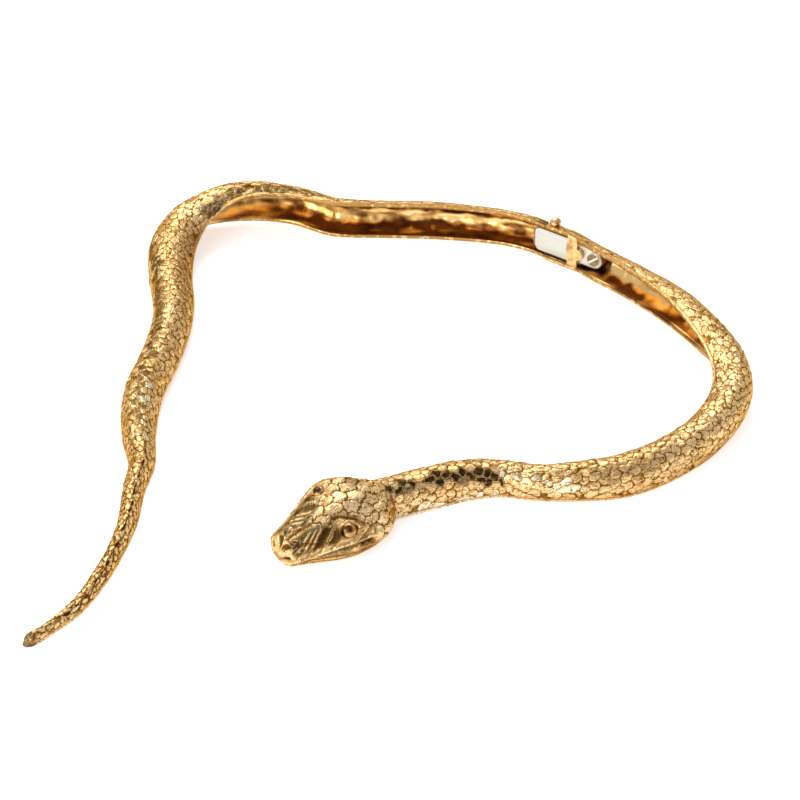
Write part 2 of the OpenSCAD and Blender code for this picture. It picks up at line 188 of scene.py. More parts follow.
# Where the relief fades out, in mm from the rims, from the hinge and from the far end, and where beside
# the rims the whole skin sinks; and the arc from which on the relief has its full height, with the
# power by which it is lower on shorter ones
RIM_FADE = (0.2, 0.75)
HINGE_FADE = (0.1, 0.9)
END_FADE = (0.3, 1.3)
SINK_FADE = (0.0, 0.5)
FULL_ARC = 13
ARC_POWER = 0.35
# Dents and wrinkles of the back: height, range of the waves' lengths, and their number
BACK_WAVES = [(0.09, (4.0, 11.0), 7), (0.045, (0.8, 1.8), 14)]
# Lines beside the rims, one shaded and the other engraved on the tail: distance from the rim, half
# width, and darkness or depth
RIM_SHADE = (0.55, 0.16, 0.75)
TAIL_LINE = (0.8, 0.15, 0.05)
# Where the rims' even colour ends, and how strong the painted highlights on the crown's scales and on the
# lips' ridge are
RIM_PLAIN = (0.1, 0.4)
CROWN_HIGHLIGHT = 0.3
LIP_HIGHLIGHT = 0.5

# Seeds of the random draws, and the length of the tail's end that has rings as fine as the head's
TAIL_SEED = 11
HEAD_SEED = 23
TAIL_TIP = 2.0

# Near the hinge the scales are worn flat, over these distances along the path
WORN_SHARE = 0.55
WORN_REACH = (35, 65)

# Rows of scales with a painted dark reflection, the tail's furrow of painted shade, and rows of scales with
# a
# painted highlight: distance along the path, which on the head half starts at the snout's end, and share
# across
TAIL_DARK_REFLECTION = [
    [(98, 0.28), (110, 0.37), (122, 0.33), (136, 0.43), (150, 0.52), (172, 0.55)],
    [(56, 0.88), (70, 0.90), (86, 0.86)],
]
TAIL_CREVICE = [
    (172, 0.58), (184, 0.61), (202, 0.58), (212, 0.56), (222, 0.62), (231, 0.66), (240, 0.66),
]
# The furrow's meander, half width and raggedness in mm, and the painted highlight beside it: distance and
# half width
CREVICE_SHAPE = (0.3, 0.14, 0.7)
CREVICE_HIGHLIGHT = (0.25, 0.22)
TAIL_HIGHLIGHT = [[(158, 0.68), (172, 0.64), (188, 0.60)]]
NECK_DARK_REFLECTION = [[(26, 0.43), (34, 0.44), (42, 0.42), (50, 0.34), (55, 0.30)]]
NECK_HIGHLIGHT = [[(53, 0.34), (58, 0.38), (64, 0.31), (72, 0.24)], [(24, 0.05), (40, 0.06), (56, 0.04)]]
PAINTED_ROW_WIDTH = 0.065

# The wedge that is open at the back of the hinge, from this height of the arch on
NOTCH_DEPTH = 1.6
NOTCH_ANGLE = 30
NOTCH_BLEND = 7


# Sections along the body

def cubic(t, start, end, start_slope, end_slope):
    """The smooth curve between two points with given slopes, at the shares t of the way."""
    return (
        start * (2 * t**3 - 3 * t**2 + 1) + end * (3 * t**2 - 2 * t**3)
        + start_slope * (t**3 - 2 * t**2 + t) + end_slope * (t**3 - t**2)
    )


def dense_rows(rows, step=0.05):
    """Smooth sections close together, their directions and their distances along the path."""
    rows = np.array(rows, float)
    chord = np.linalg.norm(rows[1:, :2] - rows[:-1, :2], axis=1)
    before = np.vstack([rows[:1], rows[:-1]])
    after = np.vstack([rows[1:], rows[-1:]])
    slope = (after - before) / np.linalg.norm(after[:, :2] - before[:, :2], axis=1)[:, None]
    values, ahead = [], []
    for i, span in enumerate(chord):
        count = max(4, math.ceil(span / step))
        t = (np.arange(count) / count)[:, None]
        if i == len(chord) - 1:
            t = np.vstack([t, [[1.0]]])
        values.append(cubic(t, rows[i], rows[i + 1], slope[i] * span, slope[i + 1] * span))
        ahead.append(
            (rows[i + 1] - rows[i]) * (6 * t - 6 * t**2)
            + slope[i] * span * (3 * t**2 - 4 * t + 1) + slope[i + 1] * span * (3 * t**2 - 2 * t)
        )
    values = np.vstack(values)
    ahead = np.vstack(ahead)[:, :2]
    ahead /= np.linalg.norm(ahead, axis=1)[:, None]
    steps = np.linalg.norm(np.diff(values[:, :2], axis=0), axis=1)
    return values, ahead, np.concatenate([[0.0], np.cumsum(steps)])


class Path:
    """The sections of one half. side is 1 where the outside lies to the right of the path, else -1."""

    def __init__(self, rows, side):
        self.values, self.ahead, self.distance = dense_rows(rows)
        self.side = side
        self.length = self.distance[-1]

    def at(self, s):
        """Sections at the distances s, as columns, with directions and the share of full size."""
        s = np.asarray(s, float)
        row, ahead = (
            np.stack([np.interp(s, self.distance, column) for column in table.T], -1)
            for table in (self.values, self.ahead)
        )
        ahead /= np.linalg.norm(ahead, axis=-1)[..., None]
        left = np.clip((self.length - s) / END_ROUND, 0.0, 1.0)
        size = END_SIZE + (1 - END_SIZE) * np.sqrt(np.clip(1 - (1 - left) ** 2, 0, 1))
        return row, ahead, size

    def frame(self, s):
        """Middle, across and dorsal directions of the sections at s."""
        row, ahead, size = self.at(s)
        roll = np.radians(row[..., ROLL])
        level, steep = np.cos(roll), np.sin(roll)
        out_x, out_y = self.side * ahead[..., 1], -self.side * ahead[..., 0]
        dorsal = np.stack([out_x * level, out_y * level, steep], -1)
        across = np.stack([-out_x * steep, -out_y * steep, level], -1)
        edge = 1 - row[..., HEAD] * (1 - JAW_EDGE)
        half = row[..., WIDTH] / 2
        height = np.maximum(row[..., LIFT], 0) + half * edge * level
        middle = np.stack([row[..., X], row[..., Y], height], -1)
        return row, middle, across, dorsal, half, edge, size


def head_curve(count=321):
    """The head's outline over the whole back, as smooth tables of across and dorsal shares."""
    side = np.array(HEAD_OUTLINE, float)
    whole = np.vstack([side * [-1, 1], side[-2::-1]])
    u = np.linspace(0, len(whole) - 1, count)
    i = np.minimum(u.astype(int), len(whole) - 2)
    t = (u - i)[:, None]
    slope = np.gradient(whole, axis=0)
    slope[0] = whole[1] - whole[0]
    slope[-1] = whole[-1] - whole[-2]
    return u / (len(whole) - 1), cubic(t, whole[i], whole[i + 1], slope[i], slope[i + 1])


HEAD_U, HEAD_CURVE = head_curve()


def outline(u, head):
    """Across and dorsal shares of the back's outline at u, from 0 at the lower rim to 1 at the upper."""
    round_across, round_dorsal = -np.cos(np.pi * u), np.sin(np.pi * u)
    head_across, head_dorsal = (np.interp(u, HEAD_U, HEAD_CURVE[:, k]) for k in (0, 1))
    return round_across * (1 - head) + head_across * head, round_dorsal * (1 - head) + head_dorsal * head


def ring_distances(path, fine_end):
    """Distances of the rings, an odd number of them, closer together over the fine end."""
    fine_from = path.length - fine_end
    fine_count = math.ceil((path.length - fine_from) / HEAD_STEP) + 1
    fine = np.linspace(fine_from, path.length, fine_count)
    rings = np.concatenate([np.arange(0, fine_from, BODY_STEP), fine])
    if len(rings) % 2 == 0:
        rings = np.delete(rings, 1)
    return rings


def even_columns(path, rings):
    """The outline's u at evenly spaced columns of each ring, and the length of each ring's arc."""
    row, _, _ = path.at(rings)
    u = np.linspace(*BACK_SPAN, ARC_SAMPLES)
    across, dorsal = outline(u[None, :], row[:, HEAD][:, None])
    across = across * row[:, WIDTH][:, None] / 2
    dorsal = dorsal * row[:, DEPTH][:, None]
    steps = np.hypot(np.diff(across, axis=1), np.diff(dorsal, axis=1))
    along = np.concatenate([np.zeros((len(rings), 1)), np.cumsum(steps, axis=1)], axis=1)
    share = np.linspace(0, 1, COLUMNS + 1)
    table = np.stack([np.interp(share * a[-1], a, u) for a in along])
    return table, along[:, -1]


def notch_shift(s, dorsal, open_angle):
    """How far the end at the hinge steps back, so that the two back walls leave a wedge open."""
    shift = np.maximum(dorsal - NOTCH_DEPTH, 0) * math.tan(math.radians(open_angle))
    return s + shift * np.clip(1 - s / NOTCH_BLEND, 0, 1)


def back_points(path, s, u, notch=0):
    """Points of the smooth back at the distances s and outline places u."""
    row, _, _ = path.at(s)
    _, dorsal_share = outline(u, row[..., HEAD])
    if notch:
        s = notch_shift(s, dorsal_share * row[..., DEPTH], notch)
    row, middle, across, dorsal, half, _, size = path.frame(s)
    a, d = outline(u, row[..., HEAD])
    return middle + across * (a * half * size)[..., None] + dorsal * (d * row[..., DEPTH] * size)[..., None]


def rim_points(path, s, side, inset, rise, notch=0):
    """A line along a rim, inset from its outer edge and rise above its plane. The lower rim's side is -1."""
    if notch:
        s = notch_shift(s, rise * np.ones_like(s), notch)
    _, middle, across, dorsal, half, edge, size = path.frame(s)
    a = side * np.maximum(half * edge - inset, 0.02)
    return middle + across * (a * size)[..., None] + dorsal * (rise * size)[..., None]


def channel_points(path, s, angle, notch, dent):
    """Points of the channel's dented wall. angle runs from 0 at the upper rim to pi at the lower one."""
    row, _, _, _, half, edge, _ = path.frame(s)
    inner_depth = np.maximum(row[..., DEPTH] - WALL, 0) * np.maximum(row[..., HOLLOW], 0)
    if notch:
        s = notch_shift(s, np.sin(angle) * inner_depth, notch)
    _, middle, across, dorsal, half, edge, size = path.frame(s)
    inner_half = np.maximum(half * edge - WALL, half * MIN_CHANNEL)
    a = np.cos(angle) * (inner_half + dent) * size
    d = np.sin(angle) * np.maximum(inner_depth + dent, 0.0) * size
    return middle + across * a[..., None] + dorsal * d[..., None]


# Scales

def scale_seeds(rings, arc, rng):
    """Scales in staggered rows, as columns: distance along the path, place across as a share of the
    arc, half the length, half the width, turn, and five random traits."""
    seeds = []
    s, row = rings[0] - 1.0, 0
    while s < rings[-1] + 1.5:
        here = np.interp(s, rings, arc)
        width = SCALE_WIDTH[0] + SCALE_WIDTH[1] * here
        length = max(width * SCALE_STRETCH, SCALE_MIN_LENGTH)
        count = max(4, round(here / width))
        for j in range(count + 1):
            share = (j + 0.5 * (row % 2) + rng.uniform(-1, 1) * SCALE_JITTER) / count
            at_rim = share < 0.6 / count or share > 1 - 0.6 / count
            if at_rim and (row // 2) % 2:
                continue
            long = DISC_ALONG * length * (BAND_STRETCH if at_rim else 1)
            wide = DISC_ACROSS * here / count
            along = s + rng.uniform(-1, 1) * SCALE_JITTER * length
            seeds.append([along, share, long, wide, rng.uniform(-1, 1) * SCALE_TURN, *rng.uniform(-1, 1, 5)])
        s += length * ROW_SPACING
        row += 1
    return np.array(seeds)


def ring_scales(near, s, share, width, ring_gap, tail_ward):
    """Finds the scale on top at every column of one ring, out of the scales near it. A scale lies over
    the ones nearer the tail. Returns the distance to the nearest edge in sight in mm, the shift in grid
    cells that would bring the point onto it, the place within the scale, its middle and its traits."""
    wave_x, wave_y = (
        sum(shift * np.sin(along * s + over * share) for shift, along, over in table)[:, None]
        for table in (UNEVEN_ACROSS, UNEVEN_ALONG)
    )
    dx = (share[:, None] - near[:, 1]) * width + wave_x
    dy = (s - near[:, 0]) * tail_ward + wave_y
    long, wide, turn = near[:, 2], near[:, 3], near[:, 4]
    turned_x = dx + dy * turn
    radius = np.sqrt((turned_x / wide) ** 2 + (dy / long) ** 2) + 1e-6
    slope_x = turned_x / wide**2 / radius
    slope_y = (dy / long**2 + turned_x * turn / wide**2) / radius
    steep = np.hypot(slope_x, slope_y) + 1e-6

    head_ward = -near[:, 0] * tail_ward
    top = np.where(radius < 1, head_ward + 1000, -radius).argmax(axis=1)
    on_top = np.arange(len(share)), top
    over = (head_ward > head_ward[top][:, None]) & (radius >= 1)
    away = np.where(over, np.abs(radius - 1) / steep, 9.0)
    to_own_edge = np.abs(1 - radius[on_top]) / steep[on_top]
    away[on_top] = np.where(radius[on_top] < 1, to_own_edge, GAP_EDGE)
    at_edge = np.arange(len(share)), away.argmin(axis=1)
    move = (1 - radius[at_edge]) / steep[at_edge] ** 2
    return {
        "edge": away[at_edge],
        "shift_c": move * slope_x[at_edge] / (width / COLUMNS),
        "shift_r": move * slope_y[at_edge] * tail_ward / ring_gap,
        "off_x": dx[on_top] / wide[top],
        "off_y": dy[on_top] / long[top],
        "home_s": near[top, 0],
        "home_share": near[top, 1],
        "trait": near[top, 5:10],
    }


def scale_field(arc, rings, seed, tail_ward):
    """What ring_scales says for every ring, as grids."""
    seeds = scale_seeds(rings, arc, np.random.default_rng(seed))
    share = np.linspace(0, 1, COLUMNS + 1)
    rows = [
        ring_scales(seeds[np.abs(seeds[:, 0] - s) < SCALE_REACH], s, share, width, gap, tail_ward)
        for s, width, gap in zip(rings, arc, np.gradient(rings))
    ]
    return {key: np.stack([row[key] for row in rows]) for key in rows[0]}


def scale_height(field):
    """Height of the scales: flat, tilted plates, low where others lie over them, in narrow grooves."""
    own = field["trait"]
    plate = SCALE_HEIGHT + SCALE_LIFT * field["off_y"] + SCALE_STEP * own[..., 0]
    plate = plate + SCALE_TILT * (own[..., 1] * field["off_x"] + 0.8 * own[..., 2] * field["off_y"])
    groove = bump_at(field["edge"], GROOVE_WIDTH)
    return plate * (1 - groove) + GROOVE_LEVEL * groove


def waves(s, across, seed, lengths, count=7):
    """A smooth random field from -1 to 1, made of plane waves with lengths in mm."""
    rng = np.random.default_rng(seed)
    total = np.zeros(np.broadcast(s, across).shape)
    for _ in range(count):
        angle, phase = rng.uniform(0, math.tau, 2)
        number = math.tau / rng.uniform(*lengths)
        total = total + np.sin(number * (np.cos(angle) * s + np.sin(angle) * across) + phase)
    return total / count


def bump_at(distance, width):
    return np.exp(-((distance / width) ** 2))


def line_beside(away, distance, width, amount=1):
    return amount * bump_at(away - distance, width)


def smooth_step(x, low, high):
    t = np.clip((x - low) / (high - low), 0, 1)
    return t * t * (3 - 2 * t)


def between(x, start, full, fade, end):
    """Rises from 0 at start to 1 at full, and falls from fade to 0 at end."""
    return smooth_step(x, start, full) * (1 - smooth_step(x, fade, end))


# Features of the head. Places are distances from the snout's end and steps of the outline from the rim,
# the same on both sides.

LIP_LINE = [
    (0.3, 2.7), (2.7, 3.2), (5.0, 3.6), (7.0, 4.1), (10.0, 4.5), (14.0, 4.55), (16.5, 4.5), (18.0, 4.1),
]
RIM_LINE = [(0.0, 1.4), (9.0, 1.6), (11.5, 1.4), (13.5, 1.15), (16.0, 0.85), (19.0, 0.8)]
CANTHUS_LINE = [(0.5, 6.6), (3.0, 7.0), (5.0, 7.4), (9.0, 7.1), (11.0, 6.8)]
EYE_AT = (12.6, 5.9)
EYE_LONG = 1.95
EYE_TALL = 1.6
EYEBALL = 1.75
EYE_SINK = 1.15
# Place and size of the painted dark reflection on each eyeball
EYE_DARK_REFLECTION_AT = (0.18, 0.30)
EYE_DARK_REFLECTION_ANGLE = 34
FAR_SHARE = 0.4
# Strength of the painted dark reflection on the snout
SNOUT_DARK_REFLECTION = 0.8
NOSTRIL_AT = (0.35, 4.7)
NOSTRIL_R = 0.45
POOL_AT = (0.9, 7.2)
POOL_R = 0.95
JAW_CORNER = 17.2
HEAD_LENGTH = 27
# Levels of the head's parts above the smooth skin, and their heights and depths, in mm
JAW_LEVEL = 0.02
JAW_PLATE_LENGTH = 2.1
JAW_PLATE_DEPTH = 0.12
JAW_GROOVE_DEPTH = 0.30
MOUTH_DEPTH = 0.45
GAPE_DEPTH = 0.30
LIP_LEVEL = 0.14
LIP_RIDGE = 0.36
PLATE_LEVEL = 0.05
EYELID_LEVEL = 0.04
EYE_RING = 0.26
SOCKET_DEPTH = 0.65
POOL_DEPTH = 0.26
POOL_BRIM = 0.10
NOSTRIL_DEPTH = 0.50
NOSTRIL_BRIM = 0.14

# Chased lines: points, half width, rise, which is negative for grooves, and darkness, which is painted shade
# in the grooves
STROKES = [
    ([(1.9, 8.0), (7.2, 8.0)], 0.30, -0.22, 0.9),
    ([(1.2, 5.3), (2.0, 5.7), (2.9, 6.1), (4.1, 6.5), (5.2, 6.0), (6.4, 5.7), (8.5, 5.4), (10.0, 5.2)],
     0.28, -0.26, 0.95),
    ([(0.9, 6.2), (2.2, 6.5), (3.6, 7.2), (5.0, 7.7)], 0.28, 0.20, 0.0),
    ([(1.7, 7.9), (2.1, 6.9), (3.3, 6.3)], 0.28, -0.20, 0.8),
    ([(3.6, 5.5), (2.0, 4.2)], 0.21, -0.14, 0.75),
    ([(5.3, 5.4), (4.2, 4.1)], 0.21, -0.14, 0.75),
    ([(7.7, 5.4), (6.5, 4.5)], 0.21, -0.14, 0.75),
    ([(9.8, 5.2), (8.8, 4.7)], 0.21, -0.14, 0.75),
    ([(11.1, 7.3), (12.3, 7.3), (13.3, 7.0), (14.0, 6.8), (14.9, 6.5)], 0.55, -0.34, 1.0),
    ([(9.8, 5.3), (10.5, 5.6), (11.0, 6.1), (11.9, 6.6), (13.1, 6.7), (14.1, 6.4)], 0.28, 0.30, 0.0),
    ([(15.1, 6.3), (15.8, 5.9)], 0.42, -0.25, 0.9),
    ([(12.6, 4.7), (14.0, 5.1), (15.2, 5.4), (16.4, 5.8)], 0.30, 0.36, 0.0),
    ([(13.3, 4.6), (14.8, 4.95), (16.7, 5.4)], 0.24, -0.16, 0.8),
    ([(13.9, 4.5), (15.3, 4.7), (17.1, 5.15)], 0.26, 0.22, 0.0),
    ([(17.3, 5.9), (17.7, 5.2), (17.4, 4.6)], 0.22, -0.14, 0.8),
]

# Upright plates between nostril and eye: place behind the snout, measured aslant, rise and darkness, which
# is painted shade
LOREAL_SLANT = 0.85
LOREAL = [
    (0.4, 0.02, 0.2), (0.9, 0.22, 0.0), (1.4, 0.16, 0.1), (1.7, -0.05, 0.8), (2.0, 0.14, 0.1),
    (2.4, 0.26, 0.0), (2.8, 0.00, 0.8), (3.1, 0.12, 0.2), (3.5, 0.26, 0.0), (3.9, 0.05, 0.6),
    (4.4, -0.14, 0.9), (5.2, -0.20, 0.9), (5.8, -0.02, 0.6), (6.1, 0.24, 0.0), (6.4, 0.06, 0.6),
    (6.7, 0.26, 0.0), (7.1, -0.06, 0.7), (7.9, -0.20, 0.9), (8.6, -0.14, 0.9), (9.2, 0.08, 0.2),
]


def blend_to(height, share, level):
    return height * (1 - share) + level * share


def line_at(line, x, part=1):
    """Value of a line of points at x."""
    return np.interp(x, [point[0] for point in line], [point[part] for point in line])


def raise_mask(masks, key, *values):
    for value in values:
        masks[key] = np.maximum(masks[key], value)


class HeadSide:
    """The grid on one side of the head: left is the distance behind the snout and up the one above this
    side's rim, in mm. strength is how strongly this side is chased."""

    def __init__(self, left, table, arc, side, strength):
        share = np.linspace(0, 1, table.shape[1])
        self.left = left
        self.up = (share if side < 0 else 1 - share) * arc[:, None]
        self.strength = strength
        self.steps = np.arange(2 * SIDE_STEPS + 1)
        u = self.steps / (2 * SIDE_STEPS)
        columns = np.array([np.interp(u if side < 0 else 1 - u, line, share) for line in table])
        self.levels = (columns if side < 0 else 1 - columns) * arc[:, None]
        self.lip, self.rim, self.canthus = (
            self.above(line_at(line, left[:, 0])) for line in (LIP_LINE, RIM_LINE, CANTHUS_LINE)
        )

    def above(self, steps):
        """Height of every grid point above a step of the outline, or above one step for each ring."""
        steps = np.broadcast_to(steps, len(self.left))
        line = [np.interp(step, self.steps, level) for step, level in zip(steps, self.levels)]
        return self.up - np.array(line)[:, None]

    def height_at(self, x, step):
        ring = np.abs(self.left[:, 0] - x).argmin()
        return np.interp(step, self.steps, self.levels[ring])

    def from_place(self, x, step):
        """Distance in mm of every grid point from a place."""
        return np.hypot(self.left - x, self.up - self.height_at(x, step))

    def from_line(self, places):
        """Distance in mm of every grid point from a line through places."""
        best = np.full(self.up.shape, 99.0)
        ends = [(x, self.height_at(x, step)) for x, step in places]
        for (x0, y0), (x1, y1) in zip(ends, ends[1:]):
            run, climb = x1 - x0, y1 - y0
            dx, dy = self.left - x0, self.up - y0
            along = np.clip((dx * run + dy * climb) / (run**2 + climb**2), 0, 1)
            best = np.minimum(best, np.hypot(dx - along * run, dy - along * climb))
        return best


def shape_mouth(head, height, masks):
    """Jaw, mouth and lips, with painted shade in the jaw's groove, in the mouth's groove and in the mouth's
    dark corner, a dark line above the lips, and a painted highlight on the lips' ridge.
    """
    left, lip, rim = head.left, head.lip, head.rim
    in_head = 1 - smooth_step(left, JAW_CORNER + 1.0, JAW_CORNER + 2.5)
    in_mouth = 1 - smooth_step(left, JAW_CORNER - 0.6, JAW_CORNER + 0.4)
    jaw = in_head * (1 - smooth_step(lip, -0.1, 0.25))
    height = blend_to(height, jaw, JAW_LEVEL)
    jaw_plates = bump_at((left / JAW_PLATE_LENGTH) % 1.0 - 0.5, 0.07) * smooth_step(rim, 0.3, 0.6)
    height = height - JAW_PLATE_DEPTH * jaw * jaw_plates * (1 - smooth_step(lip, -0.9, -0.5))
    height = height - JAW_GROOVE_DEPTH * in_head * bump_at(rim, 0.17)
    height = height - MOUTH_DEPTH * in_mouth * bump_at(lip + 0.46, 0.22)
    gape = smooth_step(left, 12.5, 14.0) * smooth_step(lip, -2.1, -1.2) * (1 - smooth_step(lip, -0.5, -0.2))
    gape = gape * in_mouth * (0.6 + 0.4 * np.sin(left * 4.1) * np.sin(lip * 5.0))
    height = height - GAPE_DEPTH * gape
    lips = in_head * smooth_step(lip, -0.05, 0.3) * (1 - smooth_step(lip, 1.4, 2.0))
    height = blend_to(height, 0.9 * lips, LIP_LEVEL)
    ridge = in_mouth * bump_at(lip, 0.30)

    deeper = 0.7 + 0.3 * smooth_step(left, 11.0, 14.0)
    # Painted shade in the jaw's groove, in the mouth's groove and in the mouth's corner, and a dark line
    # above the lips
    raise_mask(masks, "dark", in_head * bump_at(rim, 0.20), deeper * in_mouth * bump_at(lip + 0.52, 0.22))
    raise_mask(masks, "dark", 0.6 * in_mouth * bump_at(lip - 0.55, 0.15), gape)
    wedge = in_mouth * (1 - smooth_step(lip, -0.5, -0.3)) * smooth_step(rim, 0.1, 0.4)
    wedge = wedge * smooth_step(left, 5, 8)
    raise_mask(masks, "stain", 0.55 * wedge * (1 - bump_at(left - 13.0, 0.8)))
    raise_mask(masks, "plain", jaw, 0.85 * lips)
    # Painted highlight on the lips' ridge
    raise_mask(masks, "pale", ridge)
    return height + LIP_RIDGE * ridge


def shape_plates(head, height, masks):
    """Upright plates between nostril and eye, with painted shade between them, and the painted dark
    reflection on the snout around them.
    """
    left, lip, canthus = head.left, head.lip, head.canthus
    plates = between(left, 3.6, 4.6, 10.6, 11.4)
    plates = plates * smooth_step(lip, 1.3, 1.7) * (1 - smooth_step(canthus, -0.4, 0.1))
    aslant = left - LOREAL_SLANT * lip - 0.06 * (lip - 2.5) ** 2
    rise, darkness = line_at(LOREAL, aslant), line_at(LOREAL, aslant, 2)
    snout = between(left, 0.8, 2.0, 10, 12) * smooth_step(lip, 0.8, 1.6)
    snout = snout * (1 - smooth_step(canthus, 0.5, 1.5)) * (1 - plates * smooth_step(rise, 0.12, 0.2))
    raise_mask(masks, "dark", head.strength * plates * darkness)
    raise_mask(masks, "stain", SNOUT_DARK_REFLECTION * snout)
    raise_mask(masks, "plain", plates)
    return blend_to(height, plates, PLATE_LEVEL + head.strength * rise)


def shape_eye(head, height, masks):
    """The eye's socket and ring, and all chased lines, with painted shade in the socket and in the grooves.
    """
    radius = np.hypot((head.left - EYE_AT[0]) / EYE_LONG, head.above(EYE_AT[1]) / EYE_TALL)
    around = 1 - smooth_step(radius, 1.0, 1.5)
    height = blend_to(height, around, EYELID_LEVEL)
    # The chased lines; their darkness is painted shade in the grooves
    for places, width, rise, darkness in STROKES:
        share = head.strength * bump_at(head.from_line(places), width)
        height = height + rise * share
        raise_mask(masks, "dark", darkness * share)
    height = height + EYE_RING * head.strength * bump_at(radius - 1.0, 0.12)
    # Painted shade in the socket
    raise_mask(masks, "dark", 1 - smooth_step(radius, 0.75, 0.98))
    raise_mask(masks, "plain", around)
    return height - SOCKET_DEPTH * (1 - smooth_step(radius, 0.6, 0.95))


def shape_nostril(head, height, masks):
    """The nostril, and the round hollow above it, both with painted shade in them."""
    pool = head.from_place(*POOL_AT) / POOL_R
    height = height - POOL_DEPTH * (1 - smooth_step(pool, 0.3, 1.0)) + POOL_BRIM * bump_at(pool - 1.15, 0.2)
    pit = head.from_place(*NOSTRIL_AT) / NOSTRIL_R
    height = height + NOSTRIL_BRIM * bump_at(pit - 1.5, 0.35)
    # Painted shade in the nostril and in the hollow
    raise_mask(masks, "dark", 1 - smooth_step(pit, 0.6, 1.1), 0.92 * (1 - smooth_step(pool, 0.6, 0.95)))
    return height - NOSTRIL_DEPTH * (1 - smooth_step(pit, 0.5, 1.1))


def head_features(path, rings, table, arc, height, masks):
    """Shapes the head, one side after the other."""
    left = (path.length - rings)[:, None]
    for side, strength in ((-1, 1.0), (1, FAR_SHARE)):
        head = HeadSide(left, table, arc, side, strength)
        for shape in (shape_mouth, shape_plates, shape_eye, shape_nostril):
            height = shape(head, height, masks)
    masks["crown"] = between(left, 5, 8, 20, 26) * np.ones_like(height)
    return height


def tail_crevices(s, share, arc, seed):
    """Broken furrows along the end of the tail, painted as shade without a groove in the shape, and painted
    highlights beside them.
    """
    start, full, end = TAIL_CREVICE[0][0], TAIL_CREVICE[1][0], TAIL_CREVICE[-1][0]
    here = between(s, start, full, end, end + 4)
    off = (share - line_at(TAIL_CREVICE, s)) * arc[:, None]
    meander, half, ragged = CREVICE_SHAPE
    off = off + meander * waves(s, off, seed + 6, (3, 8))
    reach = half + ragged * waves(s, off, seed + 7, (1.5, 6))
    dark = here * (1 - smooth_step(np.abs(off) - reach, -0.1, 0.08))
    bright = here * smooth_step(waves(s, off, seed + 8, (3, 9)), -0.1, 0.1)
    return dark, bright * line_beside(off - reach, *CREVICE_HIGHLIGHT)


def scale_rows(lines, s, share, trait, rare=0.0):
    """How much of the painted dark reflection or highlight of some lines most scales close to them get,
    whole scales at a time.
    """
    total = np.zeros_like(s)
    for line in lines:
        start, end = line[0][0], line[-1][0]
        ends = between(s, start - 3, start + 3, end - 5, end + 5)
        total = np.maximum(total, ends * bump_at(share - line_at(line, s), PAINTED_ROW_WIDTH))
    return smooth_step(total - 0.4 * trait - rare, 0.35, 0.5) * smooth_step(total, 0.15, 0.3)


def neck_painted_light(path, field):
    """Share of painted dark reflection and of painted highlight on the scales behind the head."""
    home, place, trait = path.length - field["home_s"], field["home_share"], field["trait"]
    painted_dark = scale_rows(NECK_DARK_REFLECTION, home, place, trait[..., 4], rare=-0.28)
    return painted_dark, scale_rows(NECK_HIGHLIGHT, home, place, trait[..., 3])


def tail_painted_light(path, field, s, share):
    """The same for the tail half, which is also painted dark at its tip, and beside the hinge with painted
    shade at the seam.
    """
    home, place, trait = field["home_s"], field["home_share"], field["trait"]
    painted_dark = 0.8 * scale_rows(TAIL_DARK_REFLECTION, home, place, trait[..., 4], rare=-0.12)
    painted_dark = np.maximum(painted_dark, 0.7 * smooth_step(s, path.length - 3.0, path.length - 1.5))
    painted_dark = np.maximum(painted_dark, 0.8 * (1 - smooth_step(s, 1.5, 4.0)) * smooth_step(share, 0.7, 0.9))
    return painted_dark, scale_rows(TAIL_HIGHLIGHT, home, place, trait[..., 3], rare=0.45)


# Meshes

def strip(first, second):
    """Quads between two lines of vertex numbers."""
    return np.stack([first[:-1], second[:-1], second[1:], first[1:]], -1).reshape(-1, 4).tolist()


def surface_normals(points, outward):
    """Unit normals of a grid of points and the grid's steps along its rows and columns."""
    step_r, step_c = np.gradient(points, axis=0), np.gradient(points, axis=1)
    normal = np.cross(step_r, step_c)
    normal /= np.linalg.norm(normal, axis=-1)[..., None] + 1e-12
    if np.sum(normal[:, points.shape[1] // 2] * outward) < 0:
        normal = -normal
    return normal, step_r, step_c


def snap_to_edges(base, field, step_r, step_c):
    """Moves the grid points that are next to a scale's edge onto it, and notes that they are there."""
    snap = (np.abs(field["shift_r"]) < 0.5) & (np.abs(field["shift_c"]) < 0.5)
    snap[[0, 1, -2, -1], :] = False
    snap[:, [0, 1, -2, -1]] = False
    field["edge"] = np.where(snap, 0, field["edge"])
    base = base + step_r * np.where(snap, field["shift_r"], 0)[..., None]
    return base + step_c * np.where(snap, field["shift_c"], 0)[..., None]


